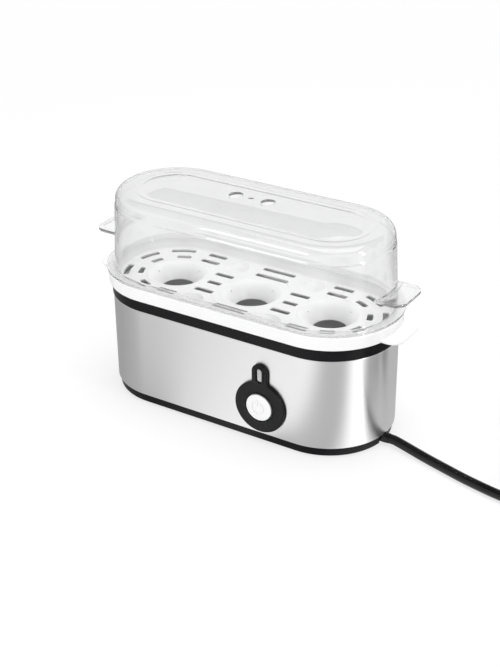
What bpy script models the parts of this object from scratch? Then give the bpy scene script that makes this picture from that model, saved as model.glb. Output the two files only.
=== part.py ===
"""Three-egg steam boiler: an obround steel housing on a black base, a heated water pan under a black rim,
a white slotted egg tray, a clear domed lid and a push button with a lamp. Metres, +Z up, +X to the right.

Origin: on the table under the middle of the housing. The button side faces -Y; the mains lead leaves at +X.
The plan of every shell is an obround: two half circles whose centres lie on X, joined by straight sides. A
profile is a list of (distance from the centre line, height), carried round that plan.
"""

import math

import bmesh
import bpy
from mathutils import Matrix, Vector

# Plan
EGG_PITCH = 0.0592
END_STEPS = 16
SEAT_GAP = 0.0003
OVERRUN = 0.004
SINK = 0.0005

# Feet and base
FOOT_SHOW = 0.0010
FOOT_RADIUS = 0.0060
FOOT_THICKNESS = 0.0020
FOOT_INSET = 0.0171
BASE_SHOW = 0.0064
BASE_INSET = 0.0011
BASE_DRAFT = 0.0006
BASE_EDGE = 0.0006
BASE_WALL = 0.0020
BASE_FLOOR = 0.0022
BASE_LIP_HEIGHT = 0.0036
BASE_LIP_WALL = 0.0016
VENT_COUNT = 5
VENT_PITCH = 0.0060
VENT_WIDTH = 0.0024
VENT_LENGTH = 0.0220
CLAMP_INSET = 0.0070
CLAMP_RIB = 0.0040

# Steel housing
STEEL_RADIUS = 0.0448
STEEL_SHEET = 0.0006
STEEL_HEIGHT = 0.0643
HEM_WIDTH = 0.0020

# Black rim that carries the pan
RIM_SHOW = 0.0087
RIM_PROUD = 0.0006
RIM_WALL = 0.0028
RIM_EDGE = 0.0007
RIM_LEDGE_WIDTH = 0.0056
RIM_LEDGE = 0.0023
RIM_LIP_DEPTH = 0.0032
RIM_LIP_WALL = 0.0014
POST_X = 0.0520
POST_INSET = 0.0012
POST_RADIUS = 0.0028
BOSS_WALL = 0.0004
SCREW_RADIUS = 0.0012
SCREW_CLEARANCE = 0.0003
SCREW_GRIP = 0.0080
SCREW_HEAD_RADIUS = 0.0024
SCREW_HEAD = 0.0016

# Water pan, its seal, and the heater under it
PAN_CLEARANCE = 0.0011
PAN_SHEET = 0.0012
PAN_WELL_CLEARANCE = 0.0020
PAN_DRAFT = 0.0012
PAN_CORNER = 0.0016
PAN_DEPTH = 0.0174
SEAL_HEIGHT = 0.0008
SEAL_WIDTH = 0.0030
ELEMENT_RADIUS = 0.0033
ELEMENT_LINE = 0.0200
ELEMENT_SPAN = 0.0440
ELEMENT_GAP = 0.0240
ELEMENT_LEG = 0.0060
BLADE_WIDTH = 0.0063
BLADE_THICKNESS = 0.0008
BLADE_LENGTH = 0.0080
THERMOSTAT_RADIUS = 0.0080
THERMOSTAT_HEIGHT = 0.0064
THERMOSTAT_NECK_RADIUS = 0.0060
THERMOSTAT_CAP = 0.0022
CLIP_WIDTH = 0.0100
CLIP_SHEET = 0.0009
CLIP_REACH = 0.0150
FUSE_RADIUS = 0.0022
FUSE_LENGTH = 0.0120
EARTH_X = -0.0300

# Egg tray
TRAY_PROUD = 0.0019
TRAY_FLARE = 0.0004
TRAY_RIM_HEIGHT = 0.0091
TRAY_WALL = 0.0014
TRAY_EDGE = 0.0010
TRAY_LEDGE = 0.0050
TRAY_FLOOR_DROP = 0.0076
TRAY_SHEET = 0.0012
TRAY_SKIRT_DEPTH = 0.0029
TRAY_SKIRT_CLEARANCE = 0.0008
CUP_MOUTH_RADIUS = 0.0212
CUP_THROAT_RADIUS = 0.0113
CUP_DEPTH = 0.0104
CUP_LIP = 0.0003
CUP_STEPS = 20
CUP_FALL_SHARES = ((1, 0), (0.72, 0.07), (0.46, 0.24), (0.2, 0.66), (0, 1))
CUP_RIB_COUNT = 3
CUP_RIB_WIDTH = 0.0012
CUP_RIB_PROUD = 0.0008
CUP_RIB_START_DEG = 60.0
CUP_RIB_LEAN_DEG = 38.0
CUP_RIB_DOWN_SHARE = 0.2
CUP_RIB_LENGTH = 0.0026
DIMPLE_RADIUS = 0.0088
DIMPLE_DEPTH = 0.0042
DIMPLE_EDGE_GAP = 0.0042
DIMPLE_STEPS = 10
DIMPLE_FALL_SHARES = ((1, 0), (0.8, 0.45), (0.45, 0.86), (0, 1))
DIMPLE_BACK_SHARES = ((0, 1), (0.6, 0.75), (1, 0.15))
SLOT_WIDTH = 0.0042
INNER_SLOT_GAP = 0.0027
OUTER_SLOT_GAP = 0.0033
SIDE_SLOT_LENGTH = 0.0145
SIDE_SLOT_INSET = 0.0090
MIDDLE_SLOT_LENGTH = 0.0250
BRIDGE_SLOT_LENGTH = 0.0140
BRIDGE_SHORT_SLOT_LENGTH = 0.0105
BRIDGE_SLOT_PITCH = 0.0128
ARC_SLOT_STEP_DEG = 9.0
INNER_SLOT_SPANS_DEG = ((11.0, 31.0), (54.0, 76.0))
OUTER_SLOT_SPANS_DEG = ((9.0, 34.0), (48.0, 76.0))

# Grip tabs at the ends of the tray and the lid
TAB_REACH = 0.0160
TAB_HALF_WIDTH = 0.0163
TAB_CORNER = 0.0080
TAB_STEPS = 6
TRAY_TAB_THICKNESS = 0.0024
TRAY_TAB_REACH = 0.0102
LID_TAB_HEIGHT = 0.0172
LID_TAB_THICKNESS = 0.0022
LID_TAB_RECESS = 0.0007
LID_TAB_BORDER = 0.0030

# Lid
LID_FLANGE_PROUD = 0.0007
LID_FLANGE = 0.0020
LID_FLANGE_EDGE = 0.0005
LID_WALL = 0.0018
LID_WALL_INSET = 0.0047
LID_DRAFT_SHARE = 0.05
LID_SKIRT_DEPTH = 0.0027
LID_SKIRT_CLEARANCE = 0.0005
LID_RING_HEIGHT = 0.0535
LID_SHOULDER = 0.0067
LID_SHOULDER_STEPS = 3
LID_STEP = 0.0003
LID_STEP_DROP = 0.0038
LID_PANEL_INSET = 0.0180
LID_GROOVE = 0.0008
LID_CROWN = 0.0037
LID_CROWN_SHARES = ((0, 0), (0.55, 0.3), (1, 1))
LID_DIMPLE_RADIUS = 0.0025
LID_DIMPLE_DEPTH = 0.0006
LID_DIMPLE_STEPS = 12
STEAM_HOLE_X = 0.0121
STEAM_HOLE_Y = 0.0010
STEAM_HOLE_HALF_WIDTH = 0.0040
STEAM_HOLE_HALF_LENGTH = 0.0057
STEAM_HOLE_STEPS = 16

# Control bezel, button and lamp
CONTROL_X = 0.0343
CONTROL_HEIGHT = 0.0282
BEZEL_RADIUS = 0.0185
BEZEL_THICKNESS = 0.0020
BEZEL_BEVEL = 0.0007
COLLAR_RADIUS = 0.0110
COLLAR_PROUD = 0.0008
BEZEL_SLEEVE_WALL = 0.0013
BEZEL_SLEEVE_DEPTH = 0.0070
BEZEL_TAB_HALF_WIDTH = 0.0058
BEZEL_TAB_TOP = 0.0314
LENS_HALF_WIDTH = 0.0023
LENS_HALF_HEIGHT = 0.0052
LENS_HEIGHT = 0.0233
LENS_FRAME = 0.0013
LENS_FRAME_PROUD = 0.0005
LENS_SUNK = 0.0003
LENS_DEPTH = 0.0035
BUTTON_RADIUS = 0.0094
BUTTON_CLEARANCE = 0.0004
BUTTON_PROUD = 0.0004
BUTTON_CROWN = 0.0005
BUTTON_DEPTH = 0.0060
BUTTON_TRAVEL = 0.0025
STEM_RADIUS = 0.0026
STEM_LENGTH = 0.0130
SWITCH_WIDTH = 0.0160
SWITCH_HEIGHT = 0.0140
SWITCH_DEPTH = 0.0150
SWITCH_BORE_DEPTH = 0.0075
BRACKET_SHEET = 0.0012
BRACKET_WIDTH = 0.0220
BRACKET_RISE_OVER = 0.0090
LAMP_RADIUS = 0.0020
LAMP_LENGTH = 0.0100
HOLDER_WALL = 0.0010

# Mains lead
CORD_DIAMETER = 0.0064
CORD_HEIGHT = 0.0046
CORD_SIDE = -0.0033
SLEEVE_RADIUS = 0.0036
SLEEVE_TIP_RADIUS = 0.0034
SLEEVE_GRIP = 0.0190
SLEEVE_REACH = 0.0035
CORD_STUB_LENGTH = 0.0140
CORD_SIDES = 2
WIRE_RADIUS = 0.0010
WIRE_POINTS = 13
CORD_LIFT = 0.0042
COIL_CENTRE_X = 0.2300
COIL_OUTER_LINE = 0.0400
COIL_CENTRE_Y = 0.0135
COIL_PITCH = 0.0070
COIL_TURNS_IN = 1.375
COIL_CLIMB_TURNS = 0.5
COIL_TURNS_OUT = 1.375
COIL_POINTS_PER_TURN = 24
CORD_ROUTE = (
    (0.1079, -0.0033, 0.0046),
    (0.1115, -0.0036, 0.0046),
    (0.1200, -0.0058, 0.0042),
    (0.1350, -0.0099, 0.0035),
    (0.1501, -0.0142, 0.0034),
    (0.1700, -0.0196, 0.0034),
    (0.1930, -0.0243, 0.0036),
    (0.2120, -0.0263, 0.0040),
    (0.2233, -0.0265, 0.0042),
)
CORD_TUBE_POINTS = 24
TAIL_ROUTE = (
    (0.2703, 0.0240, 0.0110),
    (0.2702, 0.0300, 0.0101),
    (0.2700, 0.0360, 0.0078),
    (0.2681, 0.0464, 0.0047),
    (0.2643, 0.0537, 0.0036),
    (0.2584, 0.0602, 0.0038),
    (0.2489, 0.0656, 0.0058),
)
TAIL_POINTS = 17
TIE_WIDTH = 0.0060
TIE_THICKNESS = 0.0006
TIE_ANGLE_DEG = 150.0
PLUG_ROOT = (0.2280, 0.0675, 0.0105)
PLUG_TILT_DEG = 12.6
PLUG_TURN_DEG = 90.0
PLUG_LEAD_IN = 0.0095
PLUG_FACE_RADIUS = 0.0185
PLUG_RIM_LENGTH = 0.0100
PLUG_WAIST_RADIUS = 0.0120
PLUG_BODY_LENGTH = 0.0300
PLUG_NECK_RADIUS = 0.0052
PLUG_LENGTH = 0.0460
PIN_RADIUS = 0.0024
PIN_LENGTH = 0.0190
PIN_SPACING = 0.0190
PIN_SEAT_DEPTH = 0.0060
EARTH_HOLE_RADIUS = 0.0030
EARTH_HOLE_DEPTH = 0.0120
EARTH_HOLE_OFFSET = 0.0095

# Heights and radii that follow
BASE_UNDERSIDE = FOOT_SHOW
BASE_FLOOR_TOP = BASE_UNDERSIDE + BASE_FLOOR
STEEL_LOW = BASE_UNDERSIDE + BASE_SHOW
STEEL_HIGH = STEEL_LOW + STEEL_HEIGHT
STEEL_INNER = STEEL_RADIUS - STEEL_SHEET
BASE_HIGH_RADIUS = STEEL_RADIUS - BASE_INSET
BASE_LOW_RADIUS = BASE_HIGH_RADIUS - BASE_DRAFT
BASE_LIP_TOP = STEEL_LOW + BASE_LIP_HEIGHT
BASE_LIP_OUTER = STEEL_INNER - HEM_WIDTH - SEAT_GAP
TRAY_LOW = STEEL_HIGH + RIM_SHOW
RIM_TOP = TRAY_LOW - SEAT_GAP
RIM_RADIUS = STEEL_RADIUS + RIM_PROUD
RIM_INNER = RIM_RADIUS - RIM_WALL
LEDGE_TOP = STEEL_HIGH + RIM_LEDGE
RIM_LEDGE_RADIUS = RIM_INNER - RIM_LEDGE_WIDTH
POST_LINE = RIM_LEDGE_RADIUS + POST_INSET
FOOT_LINE = BASE_LOW_RADIUS - FOOT_INSET
PAN_RADIUS = RIM_LEDGE_RADIUS - PAN_WELL_CLEARANCE
PAN_FLANGE_LOW = LEDGE_TOP + SEAL_HEIGHT + 2 * SEAT_GAP
PAN_FLANGE_TOP = PAN_FLANGE_LOW + PAN_SHEET
PAN_FLOOR_TOP = PAN_FLANGE_TOP - PAN_DEPTH
PAN_UNDERSIDE = PAN_FLOOR_TOP - PAN_SHEET
ELEMENT_HEIGHT = PAN_UNDERSIDE - SEAT_GAP - ELEMENT_RADIUS
TRAY_TOP = TRAY_LOW + TRAY_RIM_HEIGHT
TRAY_RADIUS = RIM_RADIUS + TRAY_PROUD
TRAY_TOP_RADIUS = TRAY_RADIUS + TRAY_FLARE
TRAY_FLOOR_TOP = TRAY_TOP - TRAY_FLOOR_DROP
TRAY_FLOOR_LOW = TRAY_FLOOR_TOP - TRAY_SHEET
TRAY_INNER_TOP = TRAY_TOP_RADIUS - TRAY_LEDGE - TRAY_SKIRT_CLEARANCE / 2
TRAY_INNER_LOW = TRAY_INNER_TOP - TRAY_SKIRT_CLEARANCE
INNER_SLOT_LINE = CUP_MOUTH_RADIUS + INNER_SLOT_GAP + SLOT_WIDTH / 2
OUTER_SLOT_LINE = TRAY_INNER_LOW - OUTER_SLOT_GAP - SLOT_WIDTH / 2
DIMPLE_LINE = TRAY_INNER_LOW - DIMPLE_EDGE_GAP - DIMPLE_RADIUS
LID_LOW = TRAY_TOP + SEAT_GAP
LID_FLANGE_TOP = LID_LOW + LID_FLANGE
LID_FLANGE_RADIUS = TRAY_TOP_RADIUS + LID_FLANGE_PROUD
LID_WALL_RADIUS = TRAY_TOP_RADIUS - LID_WALL_INSET
LID_PANEL_RADIUS = LID_WALL_RADIUS - LID_PANEL_INSET
LID_RING = LID_FLANGE_TOP + LID_RING_HEIGHT
FRONT = -STEEL_RADIUS - SEAT_GAP
BEZEL_FACE = FRONT - BEZEL_THICKNESS
COLLAR_FACE = BEZEL_FACE - COLLAR_PROUD
BUTTON_FACE = COLLAR_FACE - BUTTON_PROUD
BUTTON_BACK = BUTTON_FACE + BUTTON_DEPTH
STEM_END = BUTTON_BACK + STEM_LENGTH
SWITCH_FRONT = STEM_END - SWITCH_BORE_DEPTH + BUTTON_TRAVEL + 2 * SEAT_GAP
SLEEVE_INNER_X = EGG_PITCH + STEEL_RADIUS - SLEEVE_GRIP
SLEEVE_TIP_X = EGG_PITCH + STEEL_RADIUS + SLEEVE_REACH
CLAMP_X = SLEEVE_INNER_X - CLAMP_INSET
CORD_RADIUS = CORD_DIAMETER / 2
CLAMP_HALF_WIDTH = 2 * CORD_DIAMETER
CLAMP_SCREW_REACH = (CLAMP_HALF_WIDTH + CORD_RADIUS) / 2 + SEAT_GAP
FRONT_TURN = (math.pi / 2, 0, 0)
SIDE_TURN = (0, math.pi / 2, 0)
LENS_CENTRE = CONTROL_HEIGHT + LENS_HEIGHT

BLACK_PLASTIC = ("black_plastic", (0.016, 0.016, 0.017, 1), 0.28, 0)
STEEL = ("brushed_steel", (0.60, 0.60, 0.61, 1), 0.32, 1)
WHITE_PLASTIC = ("white_plastic", (0.86, 0.86, 0.86, 1), 0.35, 0)
CLEAR_PLASTIC = ("clear_plastic", (0.93, 0.94, 0.95, 1), 0.06, 0)
PAN_COATING = ("pan_coating", (0.16, 0.16, 0.17, 1), 0.45, 0.6)
SILICONE = ("silicone", (0.55, 0.55, 0.54, 1), 0.6, 0)
RUBBER = ("rubber", (0.03, 0.03, 0.03, 1), 0.8, 0)
BARE_METAL = ("bare_metal", (0.62, 0.62, 0.60, 1), 0.35, 1)
BRASS = ("brass", (0.75, 0.62, 0.35, 1), 0.3, 1)
BROWN_WIRE = ("brown_insulation", (0.20, 0.09, 0.04, 1), 0.5, 0)
BLUE_WIRE = ("blue_insulation", (0.04, 0.12, 0.42, 1), 0.5, 0)
EARTH_WIRE = ("earth_insulation", (0.35, 0.55, 0.08, 1), 0.5, 0)
CORD_SHEATH = ("cord_sheath", (0.012, 0.012, 0.012, 1), 0.4, 0)
AMBER = ("lamp_glass", (0.85, 0.42, 0.16, 1), 0.15, 0)


def clear_scene():
    for old in list(bpy.data.objects):
        bpy.data.objects.remove(old)


def collection_named(name):
    made = bpy.data.collections.new(name)
    bpy.context.scene.collection.children.link(made)
    return made


def material_for(finish):
    name, colour, roughness, metallic = finish
    found = bpy.data.materials.get(name)
    if found:
        return found
    made = bpy.data.materials.new(name)
    made.use_nodes = True
    shader = made.node_tree.nodes["Principled BSDF"]
    shader.inputs["Base Color"].default_value = colour
    shader.inputs["Roughness"].default_value = roughness
    shader.inputs["Metallic"].default_value = metallic
    return made


clear_scene()
PARTS = collection_named("egg_boiler")
CUTTERS = collection_named("cutters")


def part_from(bm, name, finish):
    """A named sub-part from a bmesh, with round faces shaded smooth."""
    bmesh.ops.remove_doubles(bm, verts=bm.verts, dist=1e-6)
    bmesh.ops.recalc_face_normals(bm, faces=bm.faces)
    mesh = bpy.data.meshes.new(name)
    bm.to_mesh(mesh)
    bm.free()
    mesh.shade_smooth()
    mesh.set_sharp_from_angle(angle=math.radians(32))
    made = bpy.data.objects.new(name, mesh)
    made.data.materials.append(material_for(finish))
    PARTS.objects.link(made)
    return made


def as_cutter(piece):
    """Moves a piece to the cutters, so that it shapes others and isn't a part."""
    PARTS.objects.unlink(piece)
    CUTTERS.objects.link(piece)
    piece.hide_render = True
    piece.display_type = "WIRE"
    return piece


def apply_boolean(piece, tool, operation):
    step = piece.modifiers.new(operation.lower() + "_" + tool.name, "BOOLEAN")
    step.operation = operation
    step.solver = "EXACT"
    step.object = tool
    if tool.name not in CUTTERS.objects:
        as_cutter(tool)


def cut(piece, tool):
    apply_boolean(piece, tool, "DIFFERENCE")


def join(piece, tool):
    apply_boolean(piece, tool, "UNION")


def obround_sweep(bm, profile, half_length=EGG_PITCH, steps=END_STEPS):
    """Carries a profile of (radius, height) round the obround plan. One that starts and ends at radius 0 is a
    solid across the middle, and a closed one is given with its first point repeated at its end."""
    points = [bm.verts.new((half_length, -radius, height)) for radius, height in profile]
    edges = [bm.edges.new(pair) for pair in zip(points, points[1:])]
    for side in (1, -1):
        turned = bmesh.ops.spin(
            bm, geom=edges, cent=(side * half_length, 0, 0), axis=(0, 0, 1), angle=math.pi, steps=steps
        )
        edges = [item for item in turned["geom_last"] if isinstance(item, bmesh.types.BMEdge)]
        drawn = bmesh.ops.extrude_edge_only(bm, edges=edges)["geom"]
        moved = [item for item in drawn if isinstance(item, bmesh.types.BMVert)]
        edges = [item for item in drawn if isinstance(item, bmesh.types.BMEdge)]
        edges = [edge for edge in edges if all(vert in moved for vert in edge.verts)]
        bmesh.ops.translate(bm, verts=moved, vec=(-2 * side * half_length, 0, 0))


def closed(profile):
    return [*profile, profile[0]]


def obround_part(name, profile, finish, half_length=EGG_PITCH, steps=END_STEPS):
    bm = bmesh.new()
    obround_sweep(bm, profile, half_length, steps)
    return part_from(bm, name, finish)


def turn(bm, profile, place, steps):
    """Adds a turned shell to a bmesh: a profile of (radius, height) spun about Z and put in place."""
    points = [bm.verts.new((radius, 0, height)) for radius, height in profile]
    pairs = [pair for pair in zip(points, points[1:]) if pair[0].co.x or pair[1].co.x]
    edges = [bm.edges.new(pair) for pair in pairs]
    axis = (0, 0, 1)
    bmesh.ops.spin(bm, geom=edges, cent=(0, 0, 0), axis=axis, angle=math.tau, steps=steps, use_merge=True)
    fresh = [vert for vert in bm.verts if not vert.tag]
    bmesh.ops.transform(bm, matrix=place, verts=fresh)
    for vert in fresh:
        vert.tag = True


def turned_part(name, profile, finish, location, rotation=(0, 0, 0), steps=24):
    """A turned sub-part: its profile runs down the outer side at +X, and a Screw modifier turns it."""
    mesh = bpy.data.meshes.new(name)
    rising = [(radius, 0, height) for radius, height in profile]
    mesh.from_pydata(rising, [(i, i + 1) for i in range(len(rising) - 1)], [])
    made = bpy.data.objects.new(name, mesh)
    made.data.materials.append(material_for(finish))
    PARTS.objects.link(made)
    made.location = location
    made.rotation_euler = rotation
    screw = made.modifiers.new("turn", "SCREW")
    screw.axis = "Z"
    screw.angle = math.tau
    screw.steps = steps
    screw.render_steps = steps
    screw.use_merge_vertices = True
    screw.merge_threshold = 1e-5
    screw.use_smooth_shade = True
    return made


def rod(name, radius, length, finish, location, rotation=(0, 0, 0), steps=20):
    """A round bar that starts at its location and runs along its own +Z."""
    profile = [(0, length), (radius, length), (radius, 0), (0, 0)]
    return turned_part(name, profile, finish, location, rotation, steps)


def block(name, low, high, finish):
    """A box between two corners."""
    bm = bmesh.new()
    bmesh.ops.create_cube(bm, size=1)
    low, high = Vector(low), Vector(high)
    size = high - low
    place = Matrix.Translation((low + high) / 2) @ Matrix.Diagonal((*size, 1))
    bmesh.ops.transform(bm, matrix=place, verts=bm.verts)
    return part_from(bm, name, finish)


def plate(name, outline, thickness, finish, holes=()):
    """A flat outline in its own X and Y, centred on its plane: a filled 2D curve made a mesh."""
    curve = bpy.data.curves.new(name, "CURVE")
    curve.dimensions = "2D"
    curve.fill_mode = "BOTH"
    curve.extrude = thickness / 2
    for loop in (outline, *holes):
        spline = curve.splines.new("POLY")
        spline.points.add(len(loop) - 1)
        for point, (x, y) in zip(spline.points, loop):
            point.co = (x, y, 0, 1)
        spline.use_cyclic_u = True
    drawn = bpy.data.objects.new(name + "_curve", curve)
    bpy.context.scene.collection.objects.link(drawn)
    evaluated = drawn.evaluated_get(bpy.context.evaluated_depsgraph_get())
    mesh = bpy.data.meshes.new_from_object(evaluated)
    bm = bmesh.new()
    bm.from_mesh(mesh)
    bpy.data.objects.remove(drawn)
    return part_from(bm, name, finish)


def arc(centre_x, centre_y, radius, start_deg, end_deg, steps, radius_y=None):
    """Points along an arc, from the start angle to the end angle."""
    radius_y = radius if radius_y is None else radius_y
    angles = [math.radians(start_deg + (end_deg - start_deg) * i / steps) for i in range(steps + 1)]
    return [(centre_x + radius * math.cos(a), centre_y + radius_y * math.sin(a)) for a in angles]


def obround(centre_x, centre_y, half_width, half_height, steps=6):
    """An upright outline with round ends."""
    straight = half_height - half_width
    top = arc(centre_x, centre_y + straight, half_width, 0, 180, steps)
    return top + arc(centre_x, centre_y - straight, half_width, 180, 360, steps)


def smooth_route(points, count):
    """Evenly spaced points on a smooth curve through a route's own points."""
    points = [Vector(p) for p in points]
    padded = [2 * points[0] - points[1], *points, 2 * points[-1] - points[-2]]
    fine = []
    for before, start, end, after in zip(padded, padded[1:], padded[2:], padded[3:]):
        for i in range(24):
            t = i / 24
            fine.append(
                0.5 * ((2 * start) + (end - before) * t + (2 * before - 5 * start + 4 * end - after) * t * t
                       + (3 * start - before - 3 * end + after) * t ** 3)
            )
    fine.append(points[-1])
    lengths = [0.0]
    for a, b in zip(fine, fine[1:]):
        lengths.append(lengths[-1] + (b - a).length)
    result = []
    j = 0
    for i in range(count):
        wanted = lengths[-1] * i / (count - 1)
        while j < len(fine) - 2 and lengths[j + 1] < wanted:
            j += 1
        share = (wanted - lengths[j]) / max(lengths[j + 1] - lengths[j], 1e-12)
        result.append(fine[j].lerp(fine[j + 1], min(share, 1)))
    return result


def tube(name, points, radius, finish, resolution=CORD_SIDES):
    """A round tube along points, with its ends closed: a bevelled curve made a mesh."""
    curve = bpy.data.curves.new(name, "CURVE")
    curve.dimensions = "3D"
    curve.bevel_depth = radius
    curve.bevel_resolution = resolution
    curve.use_fill_caps = True
    curve.twist_mode = "MINIMUM"
    spline = curve.splines.new("POLY")
    spline.points.add(len(points) - 1)
    for point, place in zip(spline.points, points):
        point.co = (*place, 1)
    drawn = bpy.data.objects.new(name + "_curve", curve)
    bpy.context.scene.collection.objects.link(drawn)
    evaluated = drawn.evaluated_get(bpy.context.evaluated_depsgraph_get())
    mesh = bpy.data.meshes.new_from_object(evaluated)
    bm = bmesh.new()
    bm.from_mesh(mesh)
    bpy.data.objects.remove(drawn)
    return part_from(bm, name, finish)


def post_places():
    return [(x, y) for x in (-POST_X, POST_X) for y in (-POST_LINE, POST_LINE)]


def foot_places():
    return [(x, y) for x in (-EGG_PITCH, EGG_PITCH) for y in (-FOOT_LINE, FOOT_LINE)]


# Base

def bottom_cover():
    lip_inner = BASE_LIP_OUTER - BASE_LIP_WALL
    shoulder = STEEL_LOW - SEAT_GAP
    cover = obround_part("bottom_cover", [
        (0, BASE_FLOOR_TOP),
        (BASE_LOW_RADIUS - BASE_WALL - BASE_EDGE, BASE_FLOOR_TOP),
        (lip_inner, BASE_FLOOR_TOP + BASE_EDGE),
        (lip_inner, BASE_LIP_TOP),
        (BASE_LIP_OUTER, BASE_LIP_TOP),
        (BASE_LIP_OUTER, shoulder),
        (BASE_HIGH_RADIUS, shoulder),
        (BASE_LOW_RADIUS, BASE_UNDERSIDE + BASE_EDGE),
        (BASE_LOW_RADIUS - BASE_EDGE, BASE_UNDERSIDE),
        (0, BASE_UNDERSIDE),
    ], BLACK_PLASTIC)
    boss_radius = SCREW_HEAD_RADIUS + SCREW_CLEARANCE + BOSS_WALL
    for i, (x, y) in enumerate(post_places()):
        boss = rod(f"base_boss_{i + 1}", boss_radius, BASE_LIP_TOP - BASE_UNDERSIDE - SINK, BLACK_PLASTIC,
                   (x, y, BASE_UNDERSIDE + SINK), steps=10)
        join(cover, boss)
    rib_top = CORD_HEIGHT - CORD_RADIUS - SEAT_GAP
    if rib_top > BASE_FLOOR_TOP:
        low = (CLAMP_X - CLAMP_RIB, CORD_SIDE - CORD_DIAMETER, BASE_FLOOR_TOP - SINK)
        high = (CLAMP_X + CLAMP_RIB, CORD_SIDE + CORD_DIAMETER, rib_top)
        join(cover, block("clamp_rib", low, high, BLACK_PLASTIC))
    for i, (x, y) in enumerate(post_places()):
        head_seat = BASE_UNDERSIDE + 2 * SCREW_HEAD
        cut(cover, rod(f"head_bore_{i + 1}", SCREW_HEAD_RADIUS + SCREW_CLEARANCE, head_seat + OVERRUN,
                       BLACK_PLASTIC, (x, y, -OVERRUN), steps=10))
        cut(cover, rod(f"shank_bore_{i + 1}", SCREW_RADIUS + SCREW_CLEARANCE, BASE_LIP_TOP + 2 * OVERRUN,
                       BLACK_PLASTIC, (x, y, -OVERRUN), steps=8))
    for i, (x, y) in enumerate(foot_places()):
        cut(cover, rod(f"foot_recess_{i + 1}", FOOT_RADIUS + SEAT_GAP, FOOT_THICKNESS + SEAT_GAP,
                       BLACK_PLASTIC, (x, y, 0), steps=16))
    cord_slot = SLEEVE_RADIUS + SEAT_GAP
    cut(cover, block("cord_slot", (SLEEVE_INNER_X - SEAT_GAP, CORD_SIDE - cord_slot, -OVERRUN),
                     (EGG_PITCH + BASE_HIGH_RADIUS + OVERRUN, CORD_SIDE + cord_slot, BASE_LIP_TOP + OVERRUN),
                     BLACK_PLASTIC))
    vents = bmesh.new()
    for i in range(VENT_COUNT):
        x = (i - (VENT_COUNT - 1) / 2) * VENT_PITCH
        cube = bmesh.ops.create_cube(vents, size=1)["verts"]
        size = (VENT_WIDTH, VENT_LENGTH, BASE_FLOOR + 2 * OVERRUN)
        place = Matrix.Translation((x, 0, BASE_UNDERSIDE + BASE_FLOOR / 2)) @ Matrix.Diagonal((*size, 1))
        bmesh.ops.transform(vents, matrix=place, verts=cube)
    cut(cover, part_from(vents, "base_vents", BLACK_PLASTIC))
    return cover


def feet():
    for i, (x, y) in enumerate(foot_places()):
        rod(f"foot_{i + 1}", FOOT_RADIUS, FOOT_THICKNESS, RUBBER, (x, y, 0), steps=16)


def base_screws():
    head_top = BASE_UNDERSIDE + 2 * SCREW_HEAD - SEAT_GAP
    grip_top = BASE_LIP_TOP + SCREW_GRIP
    for i, (x, y) in enumerate(post_places()):
        turned_part(f"base_screw_{i + 1}", [
            (0, grip_top),
            (SCREW_RADIUS / 2, grip_top),
            (SCREW_RADIUS, grip_top - SCREW_RADIUS),
            (SCREW_RADIUS, head_top),
            (SCREW_HEAD_RADIUS, head_top),
            (SCREW_HEAD_RADIUS, head_top - SCREW_HEAD / 2),
            (SCREW_HEAD_RADIUS * 2 / 3, head_top - SCREW_HEAD),
            (0, head_top - SCREW_HEAD),
        ], BARE_METAL, (x, y, 0), steps=8)


# Housing

def through_front(name, outline, depth, finish, back):
    """A plate that stands upright with its outline in X and Z, from its back plane towards -Y."""
    made = plate(name, outline, depth, finish)
    made.data.transform(Matrix.Translation((0, back - depth / 2, 0)) @ Matrix.Rotation(math.pi / 2, 4, "X"))
    return made


def steel_housing():
    inner_hem = STEEL_INNER - HEM_WIDTH
    shell = obround_part("steel_housing", closed([
        (STEEL_RADIUS, STEEL_HIGH),
        (STEEL_RADIUS, STEEL_LOW),
        (inner_hem, STEEL_LOW),
        (inner_hem, STEEL_LOW + STEEL_SHEET),
        (STEEL_INNER, STEEL_LOW + STEEL_SHEET),
        (STEEL_INNER, STEEL_HIGH),
    ]), STEEL)
    sleeve = BUTTON_RADIUS + BUTTON_CLEARANCE + BEZEL_SLEEVE_WALL
    reach = STEEL_SHEET + 2 * OVERRUN
    hole = arc(CONTROL_X, CONTROL_HEIGHT, sleeve + SEAT_GAP, 0, 360 - 360 / 24, 23)
    cut(shell, through_front("button_hole", hole, reach, STEEL, -STEEL_INNER + OVERRUN))
    cut(shell, through_front("lens_hole", lens_outline(LENS_FRAME), reach, STEEL, -STEEL_INNER + OVERRUN))
    notch = rod("cord_notch", SLEEVE_RADIUS + SEAT_GAP, HEM_WIDTH + 3 * OVERRUN, STEEL,
                (EGG_PITCH + inner_hem - 2 * OVERRUN, CORD_SIDE, CORD_HEIGHT), SIDE_TURN)
    cut(shell, notch)
    return shell


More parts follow.
